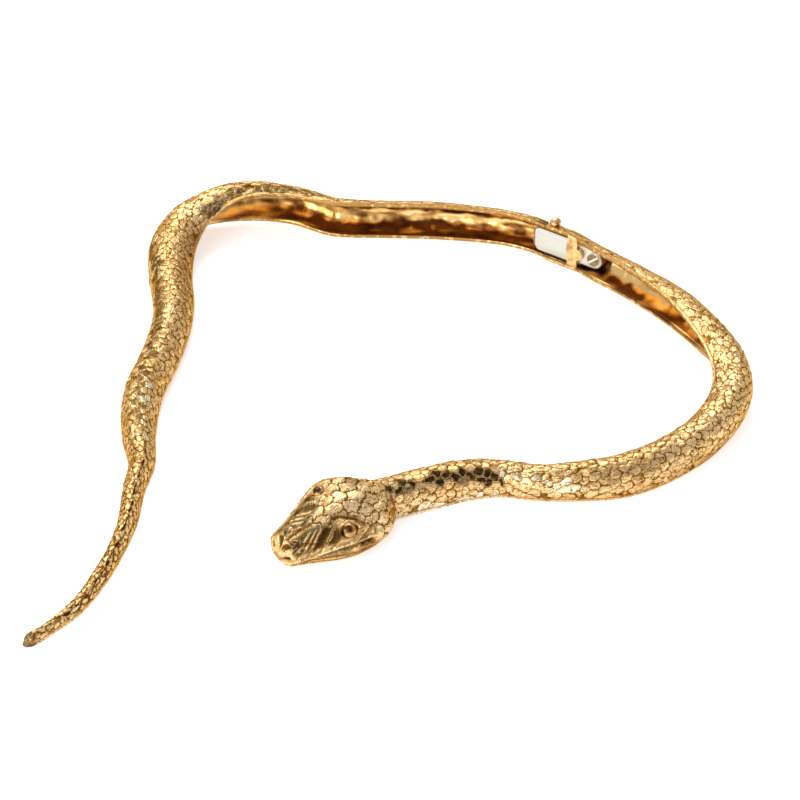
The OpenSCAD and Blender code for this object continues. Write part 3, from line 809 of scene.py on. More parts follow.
class Back:
    """The back of one half: its grid, its scales, where the relief fades out, and the masks of what is
    plain, painted shade, stained and painted dark, a painted highlight on the lips' ridge, or part of the
    crown."""

    def __init__(self, path, rings, seed, tail_ward, with_head):
        self.path, self.rings, self.seed, self.with_head = path, rings, seed, with_head
        self.table, self.arc = even_columns(path, rings)
        self.field = scale_field(self.arc, rings, seed, tail_ward)
        self.s = np.repeat(rings[:, None], COLUMNS + 1, axis=1)
        self.share = np.linspace(0, 1, COLUMNS + 1)[None, :]
        self.across = (self.share - 0.5) * self.arc[:, None]
        self.from_rim = np.minimum(self.share, 1 - self.share) * self.arc[:, None]
        self.at_rim = smooth_step(self.from_rim, *RIM_FADE)
        self.at_end = smooth_step(self.s, *HINGE_FADE) * smooth_step(path.length - self.s, *END_FADE)
        self.relief = 1 - WORN_SHARE * (1 - smooth_step(self.s, *WORN_REACH))
        self.masks = {key: np.zeros_like(self.s) for key in ("plain", "dark", "stain", "pale", "crown")}

    def heights(self):
        """Height of every grid point above the smooth back. It sets the masks of the head."""
        size = np.clip(self.arc / FULL_ARC, 0, 1)[:, None] ** ARC_POWER
        height = scale_height(self.field) * self.at_end * size * self.at_rim * self.relief
        if self.with_head:
            height = head_features(self.path, self.rings, self.table, self.arc, height, self.masks)
        else:
            height = height - line_beside(self.from_rim, *TAIL_LINE) * self.at_end
        quiet = self.at_rim * self.at_end * size
        for number, (rise, lengths, count) in enumerate(BACK_WAVES, 1):
            height = height + rise * quiet * waves(self.s, self.across, self.seed + number, lengths, count)
        return height - SINK * smooth_step(self.from_rim, *SINK_FADE)

    def wear_and_painted_light(self):
        """Shares of painted dark and of painted highlight. It sets the mask of the tail's furrow, which is
        painted shade.
        """
        if self.with_head:
            return neck_painted_light(self.path, self.field)
        painted_dark, bright = tail_painted_light(self.path, self.field, self.s, self.share)
        self.masks["dark"], shine = tail_crevices(self.s, self.share, self.arc, self.seed)
        return painted_dark, np.maximum(bright, shine)

    def grooves(self, keep):
        """Distance to the nearest groove's middle, as the material takes it."""
        edge = self.field["edge"] * keep + NO_GROOVE * self.masks["plain"]
        edge = edge + NO_GROOVE * (1 - self.at_rim) + NO_GROOVE * (1 - self.at_end)
        edge = edge + WORN_NARROWER * (1 - self.relief) - CROWN_WIDER * self.masks["crown"]
        return edge if self.with_head else edge - TAIL_WIDER * smooth_step(self.s, *TAIL_CHASED)

    def values(self):
        """The values that the material reads."""
        masks, trait = self.masks, self.field["trait"]
        keep = 1 - masks["plain"]
        # The painted dark reflection and shade, and the painted highlights of the rows, the furrow's edges,
        # the crown and the lips' ridge
        painted_dark, bright = self.wear_and_painted_light()
        painted_dark = painted_dark * keep
        bright = np.maximum(bright, CROWN_HIGHLIGHT * masks["crown"]) * (1 - painted_dark) * keep
        return {
            "edge": self.grooves(keep),
            "dark": np.maximum(masks["dark"], line_beside(self.from_rim, *RIM_SHADE) * self.at_end),
            "stain": np.maximum(masks["stain"], painted_dark),
            "tone": trait[..., 3],
            "bright": np.maximum(bright, LIP_HIGHLIGHT * masks["pale"]),
            "rim": 1 - smooth_step(self.from_rim, *RIM_PLAIN),
            "lean": trait[..., :3] * (keep * self.at_rim * self.relief)[..., None],
            "flow": np.stack([self.s, self.across, np.full_like(self.s, self.seed)], -1),
        }


def outer_grid(path, rings, seed, tail_ward, notch, with_head):
    """The scaled back as a grid of points, with the values that its material reads."""
    back = Back(path, rings, seed, tail_ward, with_head)
    base = back_points(path, back.s, back.table, notch)
    normal, step_r, step_c = surface_normals(base, base[:, COLUMNS // 2] - path.frame(rings)[1])
    base = snap_to_edges(base, back.field, step_r, step_c)
    points = base + normal * back.heights()[..., None]
    points[..., 2] = np.maximum(points[..., 2], 0.0)
    return points, back.values()


def channel_streaks(s, angle, seed, share, dark_from):
    """Brown of the channel: streaks, painted shade on the lower wall with a wavy edge, and the bend."""
    strength, around, lengths, count = STREAKS
    streak = share + strength * waves(STREAK_STRETCH * s, angle * around, seed + 5, lengths, count)
    lower = angle + 0.5 * waves(s, 0.0, seed + 6, (2.0, 6.0))
    bright, dark = (bump_at(s - middle, reach) for middle, reach in (BRIGHT_BEND, DARK_BEND))
    streak = streak + 0.5 * (1 - 0.8 * bright) * smooth_step(lower - dark_from, -0.25, 0.25)
    return streak - 0.35 * bright + 0.3 * dark


def inner_grid(path, rings, seed, notch, tarnish):
    """The hammered wall of the channel as a grid of points, and its brown streaks and painted shade."""
    angle = np.repeat(np.linspace(0, math.pi, CHANNEL_COLUMNS + 1)[None, :], len(rings), axis=0)
    s = np.repeat(rings[:, None], CHANNEL_COLUMNS + 1, axis=1)
    dent = sum(
        depth * waves(s, angle * around, seed + number, lengths, count)
        for number, (depth, around, lengths, count) in enumerate(HAMMERING, 3)
    )
    hollow = np.interp(s, path.distance, path.values[:, HOLLOW])
    dent = dent * np.sin(angle) * smooth_step(s, 0.3, 2.5) * np.clip(hollow * 1.5, 0, 1)
    return channel_points(path, s, angle, notch, dent), channel_streaks(s, angle, seed, *tarnish)


def point_numbers(clouds):
    """The numbers that the points of several clouds get in one mesh, in the shape of each cloud."""
    numbers, count = [], 0
    for cloud in clouds:
        total = cloud.size // 3
        numbers.append(np.arange(count, count + total).reshape(cloud.shape[:-1]))
        count += total
    return numbers


def skin_faces(back, low, up, channel):
    """Faces of the closed shell from the numbers of its points. Returns them with their material."""
    outside, inside = [], []
    for c in range(COLUMNS):
        outside += strip(back[:, c], back[:, c + 1])
    outside += strip(back[:, -1], up[0]) + strip(up[0], up[1])
    outside += strip(low[1], low[0]) + strip(low[0], back[:, 0])
    for fine, coarse, turned in ((up[1], channel[:, 0], False), (low[1], channel[:, -1], True)):
        for k in range(len(coarse) - 1):
            face = [fine[2 * k], coarse[k], coarse[k + 1], fine[2 * k + 2], fine[2 * k + 1]]
            outside.append(face[::-1] if turned else face)
    for c in range(CHANNEL_COLUMNS):
        inside += strip(channel[:, c], channel[:, c + 1])
    for end, turned in ((0, False), (-1, True)):
        outline_ids = [up[1][end], up[0][end], *back[end, ::-1], low[0][end], low[1][end]]
        for k in range(CHANNEL_COLUMNS):
            a = round(k * (len(outline_ids) - 1) / CHANNEL_COLUMNS)
            b = round((k + 1) * (len(outline_ids) - 1) / CHANNEL_COLUMNS)
            face = outline_ids[a:b + 1] + [channel[end, k + 1], channel[end, k]]
            outside.append(face[::-1] if turned else face)
    faces = [[int(number) for number in face] for face in outside + inside]
    return faces, [0] * len(outside) + [1] * len(inside)


def write_attribute(mesh, key, data):
    """Writes one value, or one vector, for every point of a mesh."""
    kind, slot = ("FLOAT_VECTOR", "vector") if data.shape[1] == 3 else ("FLOAT", "value")
    mesh.attributes.new(key, kind, "POINT").data.foreach_set(slot, data.ravel())


def write_values(mesh, back_count, values, streak):
    """Writes the values of the back, whose points come first, and of the channel, whose come last."""
    count = len(mesh.vertices)
    for key, value in values.items():
        value = value.reshape(back_count, -1)
        data = np.full((count, value.shape[1]), OFF_THE_BACK.get(key, 0.0), np.float32)
        data[:back_count] = value
        write_attribute(mesh, key, data)
    data = np.zeros((count, 1), np.float32)
    data[-streak.size:, 0] = np.clip(streak, 0, 1).ravel()
    write_attribute(mesh, "streak", data)


def add_object(name, mesh):
    obj = bpy.data.objects.new(name, mesh)
    bpy.context.scene.collection.objects.link(obj)
    return obj


def skin_mesh(name, path, fine_end, seed, tail_ward, tarnish, notch=0, with_head=False):
    """The shell of one half as a closed mesh, with attributes for its materials."""
    rings = ring_distances(path, fine_end)
    points, values = outer_grid(path, rings, seed, tail_ward, notch, with_head)
    corner = ROUND_INSET * EDGE_ROUND
    low, up = (
        np.array([
            rim_points(path, rings, side, corner, corner, notch),
            rim_points(path, rings, side, EDGE_ROUND, 0.0, notch),
        ])
        for side in (-1, 1)
    )
    channel, streak = inner_grid(path, rings[::2], seed, notch, tarnish)
    clouds = [points, low, up, channel]
    faces, kinds = skin_faces(*point_numbers(clouds))
    if path.side < 0:
        faces = [face[::-1] for face in faces]

    mesh = bpy.data.meshes.new(name)
    places = np.vstack([cloud.reshape(-1, 3) for cloud in clouds]) * MM
    mesh.from_pydata(places.tolist(), [], faces)
    mesh.polygons.foreach_set("material_index", kinds)
    mesh.polygons.foreach_set("use_smooth", np.ones(len(faces), bool))
    write_values(mesh, points.size // 3, values, streak)
    mesh.update()
    return add_object(name, mesh)


# Fittings

def mesh_object(name, bm):
    mesh = bpy.data.meshes.new(name)
    bm.to_mesh(mesh)
    bm.free()
    return add_object(name, mesh)


def edges_of(verts):
    return {edge for vert in verts for edge in vert.link_edges}


def round_edges(bm, edges, bevel):
    bmesh.ops.bevel(
        bm, geom=list(edges), offset=bevel * MM, segments=3, profile=0.5, affect="EDGES", clamp_overlap=True
    )


def plate(bm, outline_xz, y_from, y_to, bevel):
    """A plate with a rounded edge, cut to an outline in X and Z, between two values of Y."""
    before = set(bm.verts)
    ring = [bm.verts.new((x * MM, y_from * MM, z * MM)) for x, z in outline_xz]
    side = bmesh.ops.extrude_face_region(bm, geom=[bm.faces.new(ring)])
    moved = [v for v in side["geom"] if isinstance(v, bmesh.types.BMVert)]
    bmesh.ops.translate(bm, verts=moved, vec=(0, (y_to - y_from) * MM, 0))
    edges = edges_of(v for v in bm.verts if v not in before)
    round_edges(bm, [e for e in edges if abs(e.verts[0].co.y - e.verts[1].co.y) < 1e-9], bevel)


def block(bm, low, high, bevel):
    """A box with rounded edges between two corners."""
    made = bmesh.ops.create_cube(bm, size=1.0)["verts"]
    bmesh.ops.scale(bm, verts=made, vec=[(b - a) * MM for a, b in zip(low, high)])
    bmesh.ops.translate(bm, verts=made, vec=[(a + b) / 2 * MM for a, b in zip(low, high)])
    round_edges(bm, edges_of(made), bevel)


def rod(bm, start, axis, length, radius, bevel, sides=40):
    """A round bar from start along an axis, with rounded ends."""
    made = bmesh.ops.create_cone(
        bm, cap_ends=True, segments=sides, radius1=radius * MM, radius2=radius * MM, depth=length * MM
    )["verts"]
    turn = Vector((0, 0, 1)).rotation_difference(Vector(axis)).to_matrix()
    bmesh.ops.rotate(bm, verts=made, cent=(0, 0, 0), matrix=turn)
    bmesh.ops.translate(bm, verts=made, vec=(Vector(start) + Vector(axis) * length / 2) * MM)
    rims = [e for e in edges_of(made) if any(len(face.verts) > 4 for face in e.link_faces)]
    round_edges(bm, rims, bevel)


def finish_piece(obj, angle=40):
    for polygon in obj.data.polygons:
        polygon.use_smooth = True
    obj.data.set_sharp_from_angle(angle=math.radians(angle))
    return obj


# Places at the hinge, as in the solids
PIN_Y = 71.2
BAND = 9.0
MID_Z = BAND / 2
BARREL_R = 1.15
BARREL_Z = (MID_Z - 2.2, MID_Z + 2.2)
KNUCKLE_R = 1.35
KNUCKLE_Z = ((0.3, BARREL_Z[0] - 0.1), (BARREL_Z[1] + 0.1, BAND + 0.8))
WEB = ((-3.95, PIN_Y - 0.6, BARREL_Z[0]), (-0.3, PIN_Y + 0.6, BARREL_Z[1]))
BULKHEAD = ((-5.4, 69.9, MID_Z - 2.9), (-3.9, 73.1, MID_Z + 2.9))
# The strap between its edges, how far its left edge is bowed, its tab, and its foot below the leaf
STRAP_X = (5.0, 8.1)
STRAP_Y = (68.4, 69.25)
STRAP_Z = (0.15, 8.85)
STRAP_BOW = 0.35
TAB_X = 8.0
TAB_R = 1.5
FOOT = ((-1.4, 68.2, 0.05), (8.1, 69.5, 0.8))
SCREW_X = 12.4
POST_Y = 69.82
POST_LENGTH = 2.6
POST_R = 1.5
# The width of the leaf's border of painted shade from the gap around it, its tall end and its narrower foot
# as slabs with two corners in X and Z and the radius of their corners, and the bottom of the screw's slot
LEAF_GAP_SHADE = 0.4
LEAF_SLABS = [((-4.8, 1.25), (9.0, 7.75), 1.7), ((0.0, 1.85), (14.7, 7.15), 2.64)]
SLOT_Y = 68.8


def strap_outline():
    """The bridge: a strap with a bowed left edge and a half-round tab on its right."""
    low, high = STRAP_Z
    left = [
        (STRAP_X[0] + STRAP_BOW * (1 - math.sin(math.pi * k / 10)), low + (high - low) * k / 10)
        for k in range(11)
    ]
    tab = [
        (TAB_X + TAB_R * math.cos(math.radians(a)), MID_Z + TAB_R * math.sin(math.radians(a)))
        for a in range(90, -91, -15)
    ]
    return left + [(STRAP_X[1], high)] + tab + [(STRAP_X[1], low)]


def head_fittings():
    """Knuckles, strap, foot and screw post of the head half."""
    bm = bmesh.new()
    for low, high in KNUCKLE_Z:
        rod(bm, (0, PIN_Y, low), (0, 0, 1), high - low, KNUCKLE_R, 0.12)
    plate(bm, strap_outline(), *STRAP_Y, 0.16)
    block(bm, *FOOT, 0.15)
    rod(bm, (SCREW_X, POST_Y, MID_Z), (0, 1, 0), POST_LENGTH, POST_R, 0.1)
    return finish_piece(mesh_object("head_fittings", bm))


def tail_fittings():
    """Middle knuckle of the tail half, with its web and bulkhead."""
    bm = bmesh.new()
    rod(bm, (0, PIN_Y, BARREL_Z[0]), (0, 0, 1), BARREL_Z[1] - BARREL_Z[0], BARREL_R, 0.1)
    block(bm, *WEB, 0.1)
    block(bm, *BULKHEAD, 0.12)
    return finish_piece(mesh_object("tail_fittings", bm))


def eyeball(name, path, side):
    """A polished bead in the socket on one side of the head, with a painted dark reflection on it."""
    s = np.array([path.length - EYE_AT[0]])
    step = EYE_AT[1] / (2 * SIDE_STEPS)
    u = np.array([step if side < 0 else 1 - step])
    point = back_points(path, s, u)[0]
    along = back_points(path, s + 0.1, u)[0] - back_points(path, s - 0.1, u)[0]
    over = back_points(path, s, u + 0.01)[0] - back_points(path, s, u - 0.01)[0]
    out = np.cross(along, over)
    out /= np.linalg.norm(out)
    if out @ (point - path.frame(s)[1][0]) < 0:
        out = -out
    bm = bmesh.new()
    bmesh.ops.create_uvsphere(bm, u_segments=48, v_segments=28, radius=EYEBALL * MM)
    obj = mesh_object(name, bm)
    along, over = along / np.linalg.norm(along), over / np.linalg.norm(over)
    axis = out + EYE_DARK_REFLECTION_AT[0] * along + EYE_DARK_REFLECTION_AT[1] * over * -side
    axis /= np.linalg.norm(axis)
    places = np.array([v.co for v in obj.data.vertices]) / (EYEBALL * MM)
    # The painted dark reflection around that axis
    off = np.degrees(np.arccos(np.clip(places @ axis, -1, 1)))
    dark = 1 - smooth_step(off, EYE_DARK_REFLECTION_ANGLE - 8, EYE_DARK_REFLECTION_ANGLE)
    write_attribute(obj.data, "dark", dark[:, None].astype(np.float32))
    obj.location = Vector(point - out * EYE_SINK) * MM
    return finish_piece(obj)


# Materials

class Graph:
    """The nodes of a material or of the world. A value is a number, a colour, a vector or a socket."""

    def __init__(self, tree):
        self.nodes, self.links = tree.nodes, tree.links

    def add(self, kind, **values):
        """A node with its settings, or with the values of its sockets."""
        node = self.nodes.new(kind)
        for key, value in values.items():
            if hasattr(node, key):
                setattr(node, key, value)
            else:
                node.inputs[key].default_value = value
        return node

    def feed(self, socket, value):
        if isinstance(value, bpy.types.NodeSocket):
            self.links.new(value, socket)
        elif isinstance(value, tuple) and len(socket.default_value) > len(value):
            socket.default_value = (*value, 1)
        else:
            socket.default_value = value

    def maths(self, operation, first, second=0.0):
        node = self.add("ShaderNodeMath", operation=operation)
        self.feed(node.inputs[0], first)
        self.feed(node.inputs[1], second)
        return node.outputs[0]

    def plus(self, first, second):
        return self.maths("ADD", first, second)

    def times(self, first, second):
        return self.maths("MULTIPLY", first, second)

    def most(self, first, second):
        return self.maths("MAXIMUM", first, second)

    def vector(self, operation, first, second=(0.0, 0.0, 0.0)):
        node = self.add("ShaderNodeVectorMath", operation=operation)
        self.feed(node.inputs[0], first)
        self.feed(node.inputs[1], second)
        return node.outputs["Value" if operation in ("LENGTH", "DOT_PRODUCT") else "Vector"]

    def mix(self, factor, first, second):
        node = self.add("ShaderNodeMix", data_type="RGBA")
        self.feed(node.inputs[0], factor)
        self.feed(node.inputs[6], first)
        self.feed(node.inputs[7], second)
        return node.outputs[2]

    def ramp(self, source, *stops):
        """A ramp through stops of position and colour, or of position and grey."""
        node = self.add("ShaderNodeValToRGB")
        elements = node.color_ramp.elements
        while len(elements) < len(stops):
            elements.new(0.5)
        for element, (position, colour) in zip(elements, stops):
            element.position = position
            element.color = (*colour, 1) if isinstance(colour, tuple) else (colour, colour, colour, 1)
        self.links.new(source, node.inputs[0])
        return node.outputs[0]

    def noise(self, place, scale, detail=3.0, **values):
        node = self.add("ShaderNodeTexNoise", Scale=scale, Detail=detail, **values)
        self.links.new(place, node.inputs["Vector"])
        return node.outputs["Fac"]

    def attribute(self, name, output="Fac"):
        return self.add("ShaderNodeAttribute", attribute_name=name).outputs[output]

    def place(self, kind="Object"):
        return self.add("ShaderNodeTexCoord").outputs[kind]

    def surface_normal(self):
        return self.add("ShaderNodeNewGeometry").outputs["Normal"]

    def bump(self, height, normal, strength, distance):
        node = self.add("ShaderNodeBump", Strength=strength, Distance=distance)
        self.links.new(height, node.inputs["Height"])
        self.links.new(normal, node.inputs["Normal"])
        return node.outputs[0]

    def finish(self, colour, rough, **more):
        """Feeds the surface's colour, roughness and further values to its shader."""
        values = {"Base Color": colour, "Roughness": rough, "Metallic": 1.0}
        for key, value in {**values, **more}.items():
            self.feed(self.nodes["Principled BSDF"].inputs[key.replace("_", " ")], value)


def new_material(name):
    material = bpy.data.materials.new(name)
    material.use_nodes = True
    return material, Graph(material.node_tree)


def clean_gold(graph, place):
    """The gold's colour, a little other from place to place, from scale to scale and on the rims, and
    lighter where highlights are painted.
    """
    tone, rim, bright = (graph.attribute(key) for key in ("tone", "rim", "bright"))
    gold = graph.ramp(
        graph.noise(place, 90.0),
        (0.30, (0.79, 0.50, 0.21)), (0.52, (0.91, 0.62, 0.29)), (0.72, (0.97, 0.71, 0.38)),
    )
    gold = graph.mix(graph.times(graph.plus(tone, 1.0), 0.22), gold, (0.96, 0.70, 0.38))
    gold = graph.mix(graph.times(rim, 0.8), gold, (0.84, 0.58, 0.29))
    return graph.mix(graph.times(bright, 0.8), gold, (0.99, 0.88, 0.66))


def leaning_normal(graph, *bumps):
    """The surface's normal as each scale leans, with bumps of height, strength and distance."""
    leaning = graph.vector("MULTIPLY", graph.attribute("lean", "Vector"), (SCALE_LEAN,) * 3)
    normal = graph.vector("NORMALIZE", graph.vector("ADD", graph.surface_normal(), leaning))
    for height, strength, distance in bumps:
        normal = graph.bump(height, normal, strength, distance)
    return normal


def scaled_gold():
    """Cast and chased gold: bright scales with wrinkled tops, brown patina in the grooves, bright rims, and
    painted shade, painted dark reflections and painted highlights. Each scale leans its own way, and the
    wrinkles run along the body."""
    material, graph = new_material("scaled_gold")
    edge, dark, stain = (graph.attribute(key) for key in ("edge", "dark", "stain"))
    place = graph.place()
    fine = graph.noise(place, 1500.0, 4.0, Roughness=0.6)
    blotch = graph.noise(place, 900.0)
    drawn = graph.vector("MULTIPLY", graph.attribute("flow", "Vector"), (0.45, 1.0, 1.0))
    wrinkle = graph.noise(drawn, 1.5, Distortion=0.9)
    scribble = graph.noise(drawn, 1.3, Distortion=0.7)

    reach = graph.plus(edge, graph.maths("SUBTRACT", 0.165, graph.times(blotch, 0.34)))
    line = graph.ramp(reach, (0.0, 1), (0.07, 0.8), (0.16, 0))
    speckle = graph.ramp(fine, (0.36, 1), (0.46, 0))
    crease = graph.ramp(scribble, (0.43, 0), (0.475, 1), (0.52, 0))
    crease = graph.times(crease, graph.ramp(blotch, (0.38, 0), (0.46, 1)))
    inside = graph.ramp(edge, (0.13, 0), (0.22, 1))
    # A painted highlight ring around the painted dark scales
    ring = graph.times(stain, graph.maths("SUBTRACT", 0.8, inside))
    gold = graph.mix(ring, clean_gold(graph, place), (0.97, 0.80, 0.52))
    # Painted dark reflection and shade, darkest inside the scales
    painted_dark = graph.times(graph.times(stain, graph.plus(fine, 0.5)), inside)
    shade = graph.most(graph.most(graph.times(line, 0.9), dark), graph.times(speckle, 0.25))
    shade = graph.most(shade, graph.times(crease, 0.95))
    tint = graph.ramp(shade, (0.0, 1), (0.5, (0.62, 0.47, 0.25)), (1.0, (0.07, 0.037, 0.012)))
    colour = graph.mix(painted_dark, graph.vector("MULTIPLY", gold, tint), (0.045, 0.024, 0.008))
    rough = graph.plus(graph.plus(graph.times(fine, 0.2), 0.2), graph.times(shade, 0.2))

    normal = leaning_normal(
        graph, (fine, 0.4, 0.00007), (wrinkle, 0.8, 0.00025), (line, 0.6, -0.00008)
    )
    graph.finish(colour, rough, Specular_Tint=(0.60, 0.42, 0.22), Normal=normal)
    return material


def channel_gold():
    """Polished, hammered gold inside the channel, deeper in colour, with brown streaks and painted shade on
    the lower wall.
    """
    material, graph = new_material("channel_gold")
    place = graph.place()
    streak = graph.attribute("streak")
    cloud = graph.noise(place, 220.0, 5.0, Roughness=0.6, Distortion=0.8)
    fine = graph.noise(place, 900.0)
    colour = graph.ramp(
        graph.plus(streak, graph.times(cloud, 0.6)),
        (0.42, (0.93, 0.62, 0.26)), (0.62, (0.74, 0.42, 0.12)),
        (0.80, (0.38, 0.18, 0.050)), (1.0, (0.11, 0.042, 0.013)),
    )
    rough = graph.plus(graph.plus(graph.times(fine, 0.16), 0.1), graph.times(streak, 0.12))
    normal = graph.bump(cloud, graph.surface_normal(), 0.3, 0.0002)
    graph.finish(colour, rough, Specular_Tint=(0.85, 0.60, 0.32), Normal=normal)
    return material


def plain_gold(name, colour, rough, tarnished=0.38):
    """Smooth gold of the fittings and the eyes, lightly worn, and on the eyes a painted dark reflection."""
    material, graph = new_material(name)
    place = graph.place()
    wear_and_painted_light = graph.noise(place, 700.0, 5.0, Roughness=0.65)
    cloud = graph.noise(place, 330.0, Distortion=1.0)
    shade = graph.ramp(wear_and_painted_light, (0.34, tuple(0.55 * c for c in colour)), (0.55, colour))
    tarnish = graph.ramp(cloud, (tarnished, 0.8), (tarnished + 0.12, 0))
    shade = graph.mix(tarnish, shade, (0.40, 0.20, 0.06))
    # Painted dark reflection on the eyes
    shade = graph.mix(graph.times(graph.attribute("dark"), 0.9), shade, (0.06, 0.026, 0.008))
    normal = graph.bump(wear_and_painted_light, graph.surface_normal(), 0.2, 0.00006)
    graph.finish(shade, graph.plus(graph.times(wear_and_painted_light, 0.2), rough), Normal=normal)
    return material


def slab_distance(graph, place, low, high, corner):
    """Distance in metres from the outline of a rounded slab in X and Z, negative inside."""
    middle = tuple(-(a + b) / 2 * MM for a, b in zip(low, high))
    half = tuple((corner - (b - a) / 2) * MM for a, b in zip(low, high))
    flat = graph.vector("MULTIPLY", place, (1.0, 0.0, 1.0))
    from_middle = graph.vector("ADD", flat, (middle[0], 0.0, middle[1]))
    beyond = graph.vector("ADD", graph.vector("ABSOLUTE", from_middle), (half[0], 0.0, half[1]))
    beyond = graph.vector("MAXIMUM", beyond, (0.0, 0.0, 0.0))
    return graph.maths("SUBTRACT", graph.vector("LENGTH", beyond), corner * MM)


def gap_shade_border(graph, place, shade):
    """Paints the shade of the gap around the leaf along its edge."""
    inside = graph.maths("MINIMUM", *(slab_distance(graph, place, *slab) for slab in LEAF_SLABS))
    border = graph.plus(graph.maths("DIVIDE", inside, LEAF_GAP_SHADE * MM), 1.0)
    return graph.mix(graph.ramp(border, (0.0, 0), (0.7, 1)), shade, (0.10, 0.075, 0.045))


def bright_slot(graph, place, shade):
    """Brightens the bottom of the screw's slot."""
    split = graph.add("ShaderNodeSeparateXYZ")
    graph.feed(split.inputs[0], place)
    return graph.mix(graph.maths("GREATER_THAN", split.outputs["Y"], SLOT_Y * MM), shade, (0.85, 0.80, 0.66))


def steel(name, bright, dark, rough, grain, detail):
    """Steel with a brushed grain along X, and a detail that changes its colour from place to place."""
    material, graph = new_material(name)
    place = graph.place()
    brushed = graph.noise(graph.vector("MULTIPLY", place, (150.0, 2500.0, 2500.0)), 1.0, 4.0)
    shade = graph.ramp(brushed, (0.3, dark), (0.6, bright))
    shade = detail(graph, place, shade)
    normal = graph.bump(brushed, graph.surface_normal(), grain, 0.00005)
    graph.finish(shade, graph.plus(graph.times(brushed, 0.15), rough), Normal=normal)
    return material


def pale_floor():
    material, graph = new_material("pale_floor")
    glow = {"Emission_Color": (1.0, 1.0, 1.0), "Emission_Strength": 0.55}
    graph.finish((0.86, 0.86, 0.86), 0.7, Metallic=0.0, **glow)
    return material


# Scene

CAMERA_TARGET = (0.00748, 0.0, 0.0)
CAMERA_AZIMUTH = 37.0
CAMERA_ELEVATION = 34.0
CAMERA_DISTANCE = 0.7
CAMERA_LENS = 141.75
FLOOR_REACH = 6.0

# Soft lamps: place, size and power in watts
SOFTBOXES = {
    "key": ((-0.15, -0.85, 0.45), (0.7, 0.5), 3.6),
    "top": ((-0.55, 0.35, 0.8), (1.0, 0.8), 6.0),
}

# The studio's even light, and its patches that the gold reflects: direction as azimuth and elevation,
# the cosines of the angles at which the patch starts and is full, and how much brighter it is
EVEN_LIGHT = 0.66
PATCHES = [
    (-85, 28, 0.70, 0.93, 0.32),
    (-18, 36, 0.80, 0.95, -0.28),
    (150, 78, 0.90, 0.985, -0.30),
    (-44, 32, 0.955, 0.992, -0.12),
]


def direction(azimuth, elevation):
    azimuth, elevation = math.radians(azimuth), math.radians(elevation)
    level = math.cos(elevation)
    return level * math.cos(azimuth), level * math.sin(azimuth), math.sin(elevation)


def add_camera():
    away = Vector(direction(CAMERA_AZIMUTH - 90, CAMERA_ELEVATION))
    data = bpy.data.cameras.new("camera")
    data.lens = CAMERA_LENS
    data.sensor_width = 36
    data.clip_start = 0.01
    camera = bpy.data.objects.new("camera", data)
    camera.location = Vector(CAMERA_TARGET) + away * CAMERA_DISTANCE
    camera.rotation_euler = (-away).to_track_quat("-Z", "Y").to_euler()
    bpy.context.scene.collection.objects.link(camera)
    bpy.context.scene.camera = camera


def add_softbox(name, place, size, power):
    data = bpy.data.lights.new(name, "AREA")
    data.shape = "RECTANGLE"
    data.size, data.size_y = size
    data.energy = power
    lamp = bpy.data.objects.new(name, data)
    lamp.location = place
    lamp.rotation_euler = (-Vector(place)).to_track_quat("-Z", "Y").to_euler()
    bpy.context.scene.collection.objects.link(lamp)


def add_world():
    """A studio of even light with soft bright and dark patches. What is dim is also warm."""
    world = bpy.data.worlds.new("studio")
    bpy.context.scene.world = world
    world.use_nodes = True
    graph = Graph(world.node_tree)
    towards = graph.place("Generated")
    light = EVEN_LIGHT
    for azimuth, elevation, start, full, amount in PATCHES:
        near = graph.vector("DOT_PRODUCT", towards, direction(azimuth, elevation))
        patch = graph.add("ShaderNodeMapRange", interpolation_type="SMOOTHSTEP")
        for socket, value in (("Value", near), ("From Min", start), ("From Max", full), ("To Max", amount)):
            graph.feed(patch.inputs[socket], value)
        light = graph.plus(light, patch.outputs["Result"])
    warm = graph.ramp(light, (0.2, (1.0, 0.80, 0.56)), (0.55, 1))
    background = world.node_tree.nodes["Background"]
    graph.feed(background.inputs["Color"], graph.vector("MULTIPLY", warm, light))
    graph.feed(background.inputs["Strength"], 1.0)


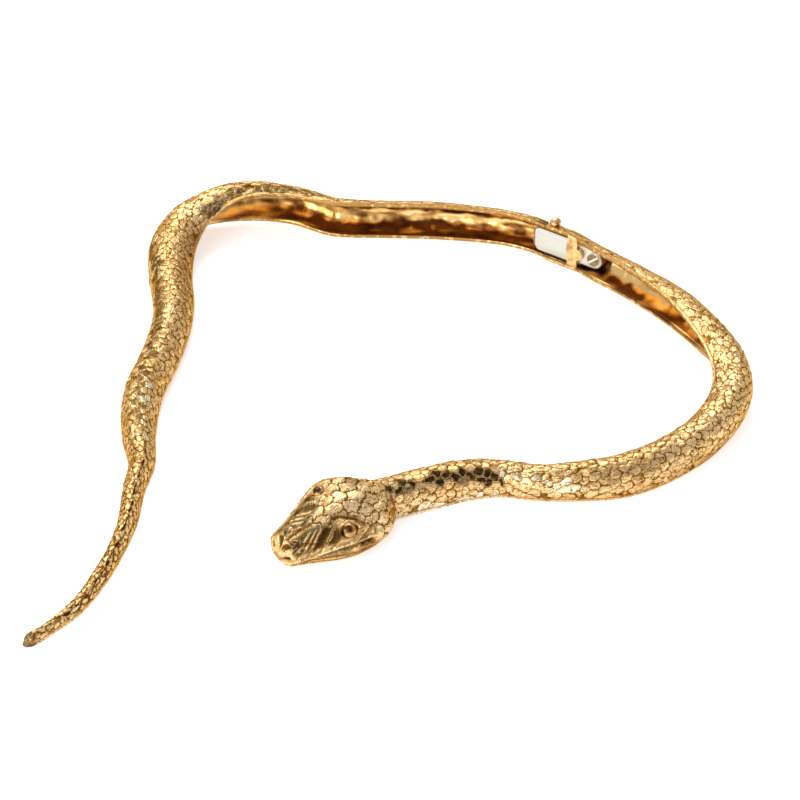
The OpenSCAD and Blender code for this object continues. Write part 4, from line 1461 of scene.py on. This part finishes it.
def add_studio():
    bm = bmesh.new()
    bmesh.ops.create_grid(bm, x_segments=1, y_segments=1, size=FLOOR_REACH)
    floor = mesh_object("floor", bm)
    floor.data.materials.append(pale_floor())
    add_world()
    for name, (place, size, power) in SOFTBOXES.items():
        add_softbox(name, place, size, power)
    bpy.context.scene.view_settings.view_transform = "Standard"


def dress(obj, body, slot, *materials, stands_for=()):
    for material in materials:
        obj.data.materials.append(material)
    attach(obj, body)
    if stands_for:
        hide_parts(*stands_for)


def repaint(node, material):
    """Gives a solid of the frame its material."""
    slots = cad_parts[node].data.materials
    slots.clear()
    slots.append(material)


def build():
    gold, inside = scaled_gold(), channel_gold()
    fitting_gold = plain_gold("fitting_gold", (0.86, 0.56, 0.24), 0.12)
    eye_gold = plain_gold("eye_gold", (0.76, 0.48, 0.20), 0.12, 0.46)
    tail_path = Path(TAIL_ROWS, 1)
    head_path = Path(HEAD_ROWS, -1)
    tail = skin_mesh("tail_skin", tail_path, TAIL_TIP, TAIL_SEED, 1, TAIL_TARNISH_AND_SHADE, notch=NOTCH_ANGLE)
    head = skin_mesh("head_skin", head_path, HEAD_LENGTH, HEAD_SEED, -1, HEAD_TARNISH_AND_SHADE, with_head=True)
    dress(tail, "tail_side", "gold", gold, inside, stands_for=["tail_half"])
    dress(head, "head_side", "gold", gold, inside, stands_for=["head_half"])
    dress(head_fittings(), "head_side", "gold", fitting_gold)
    dress(tail_fittings(), "tail_side", "gold", fitting_gold)
    for name, side in (("eye_near", -1), ("eye_far", 1)):
        dress(eyeball(name, head_path, side), "head_side", "gold", eye_gold)
    repaint("hinge_pin", plain_gold("pin_gold", (0.82, 0.53, 0.23), 0.15))
    leaf_steel = steel("leaf_steel", (0.70, 0.68, 0.60), (0.60, 0.58, 0.50), 0.35, 0.05, gap_shade_border)
    repaint("leaf_spring", leaf_steel)
    screw_steel = steel("screw_steel", (0.30, 0.21, 0.12), (0.10, 0.06, 0.03), 0.3, 0.3, bright_slot)
    repaint("spring_screw", screw_steel)


add_camera()
add_studio()
build()
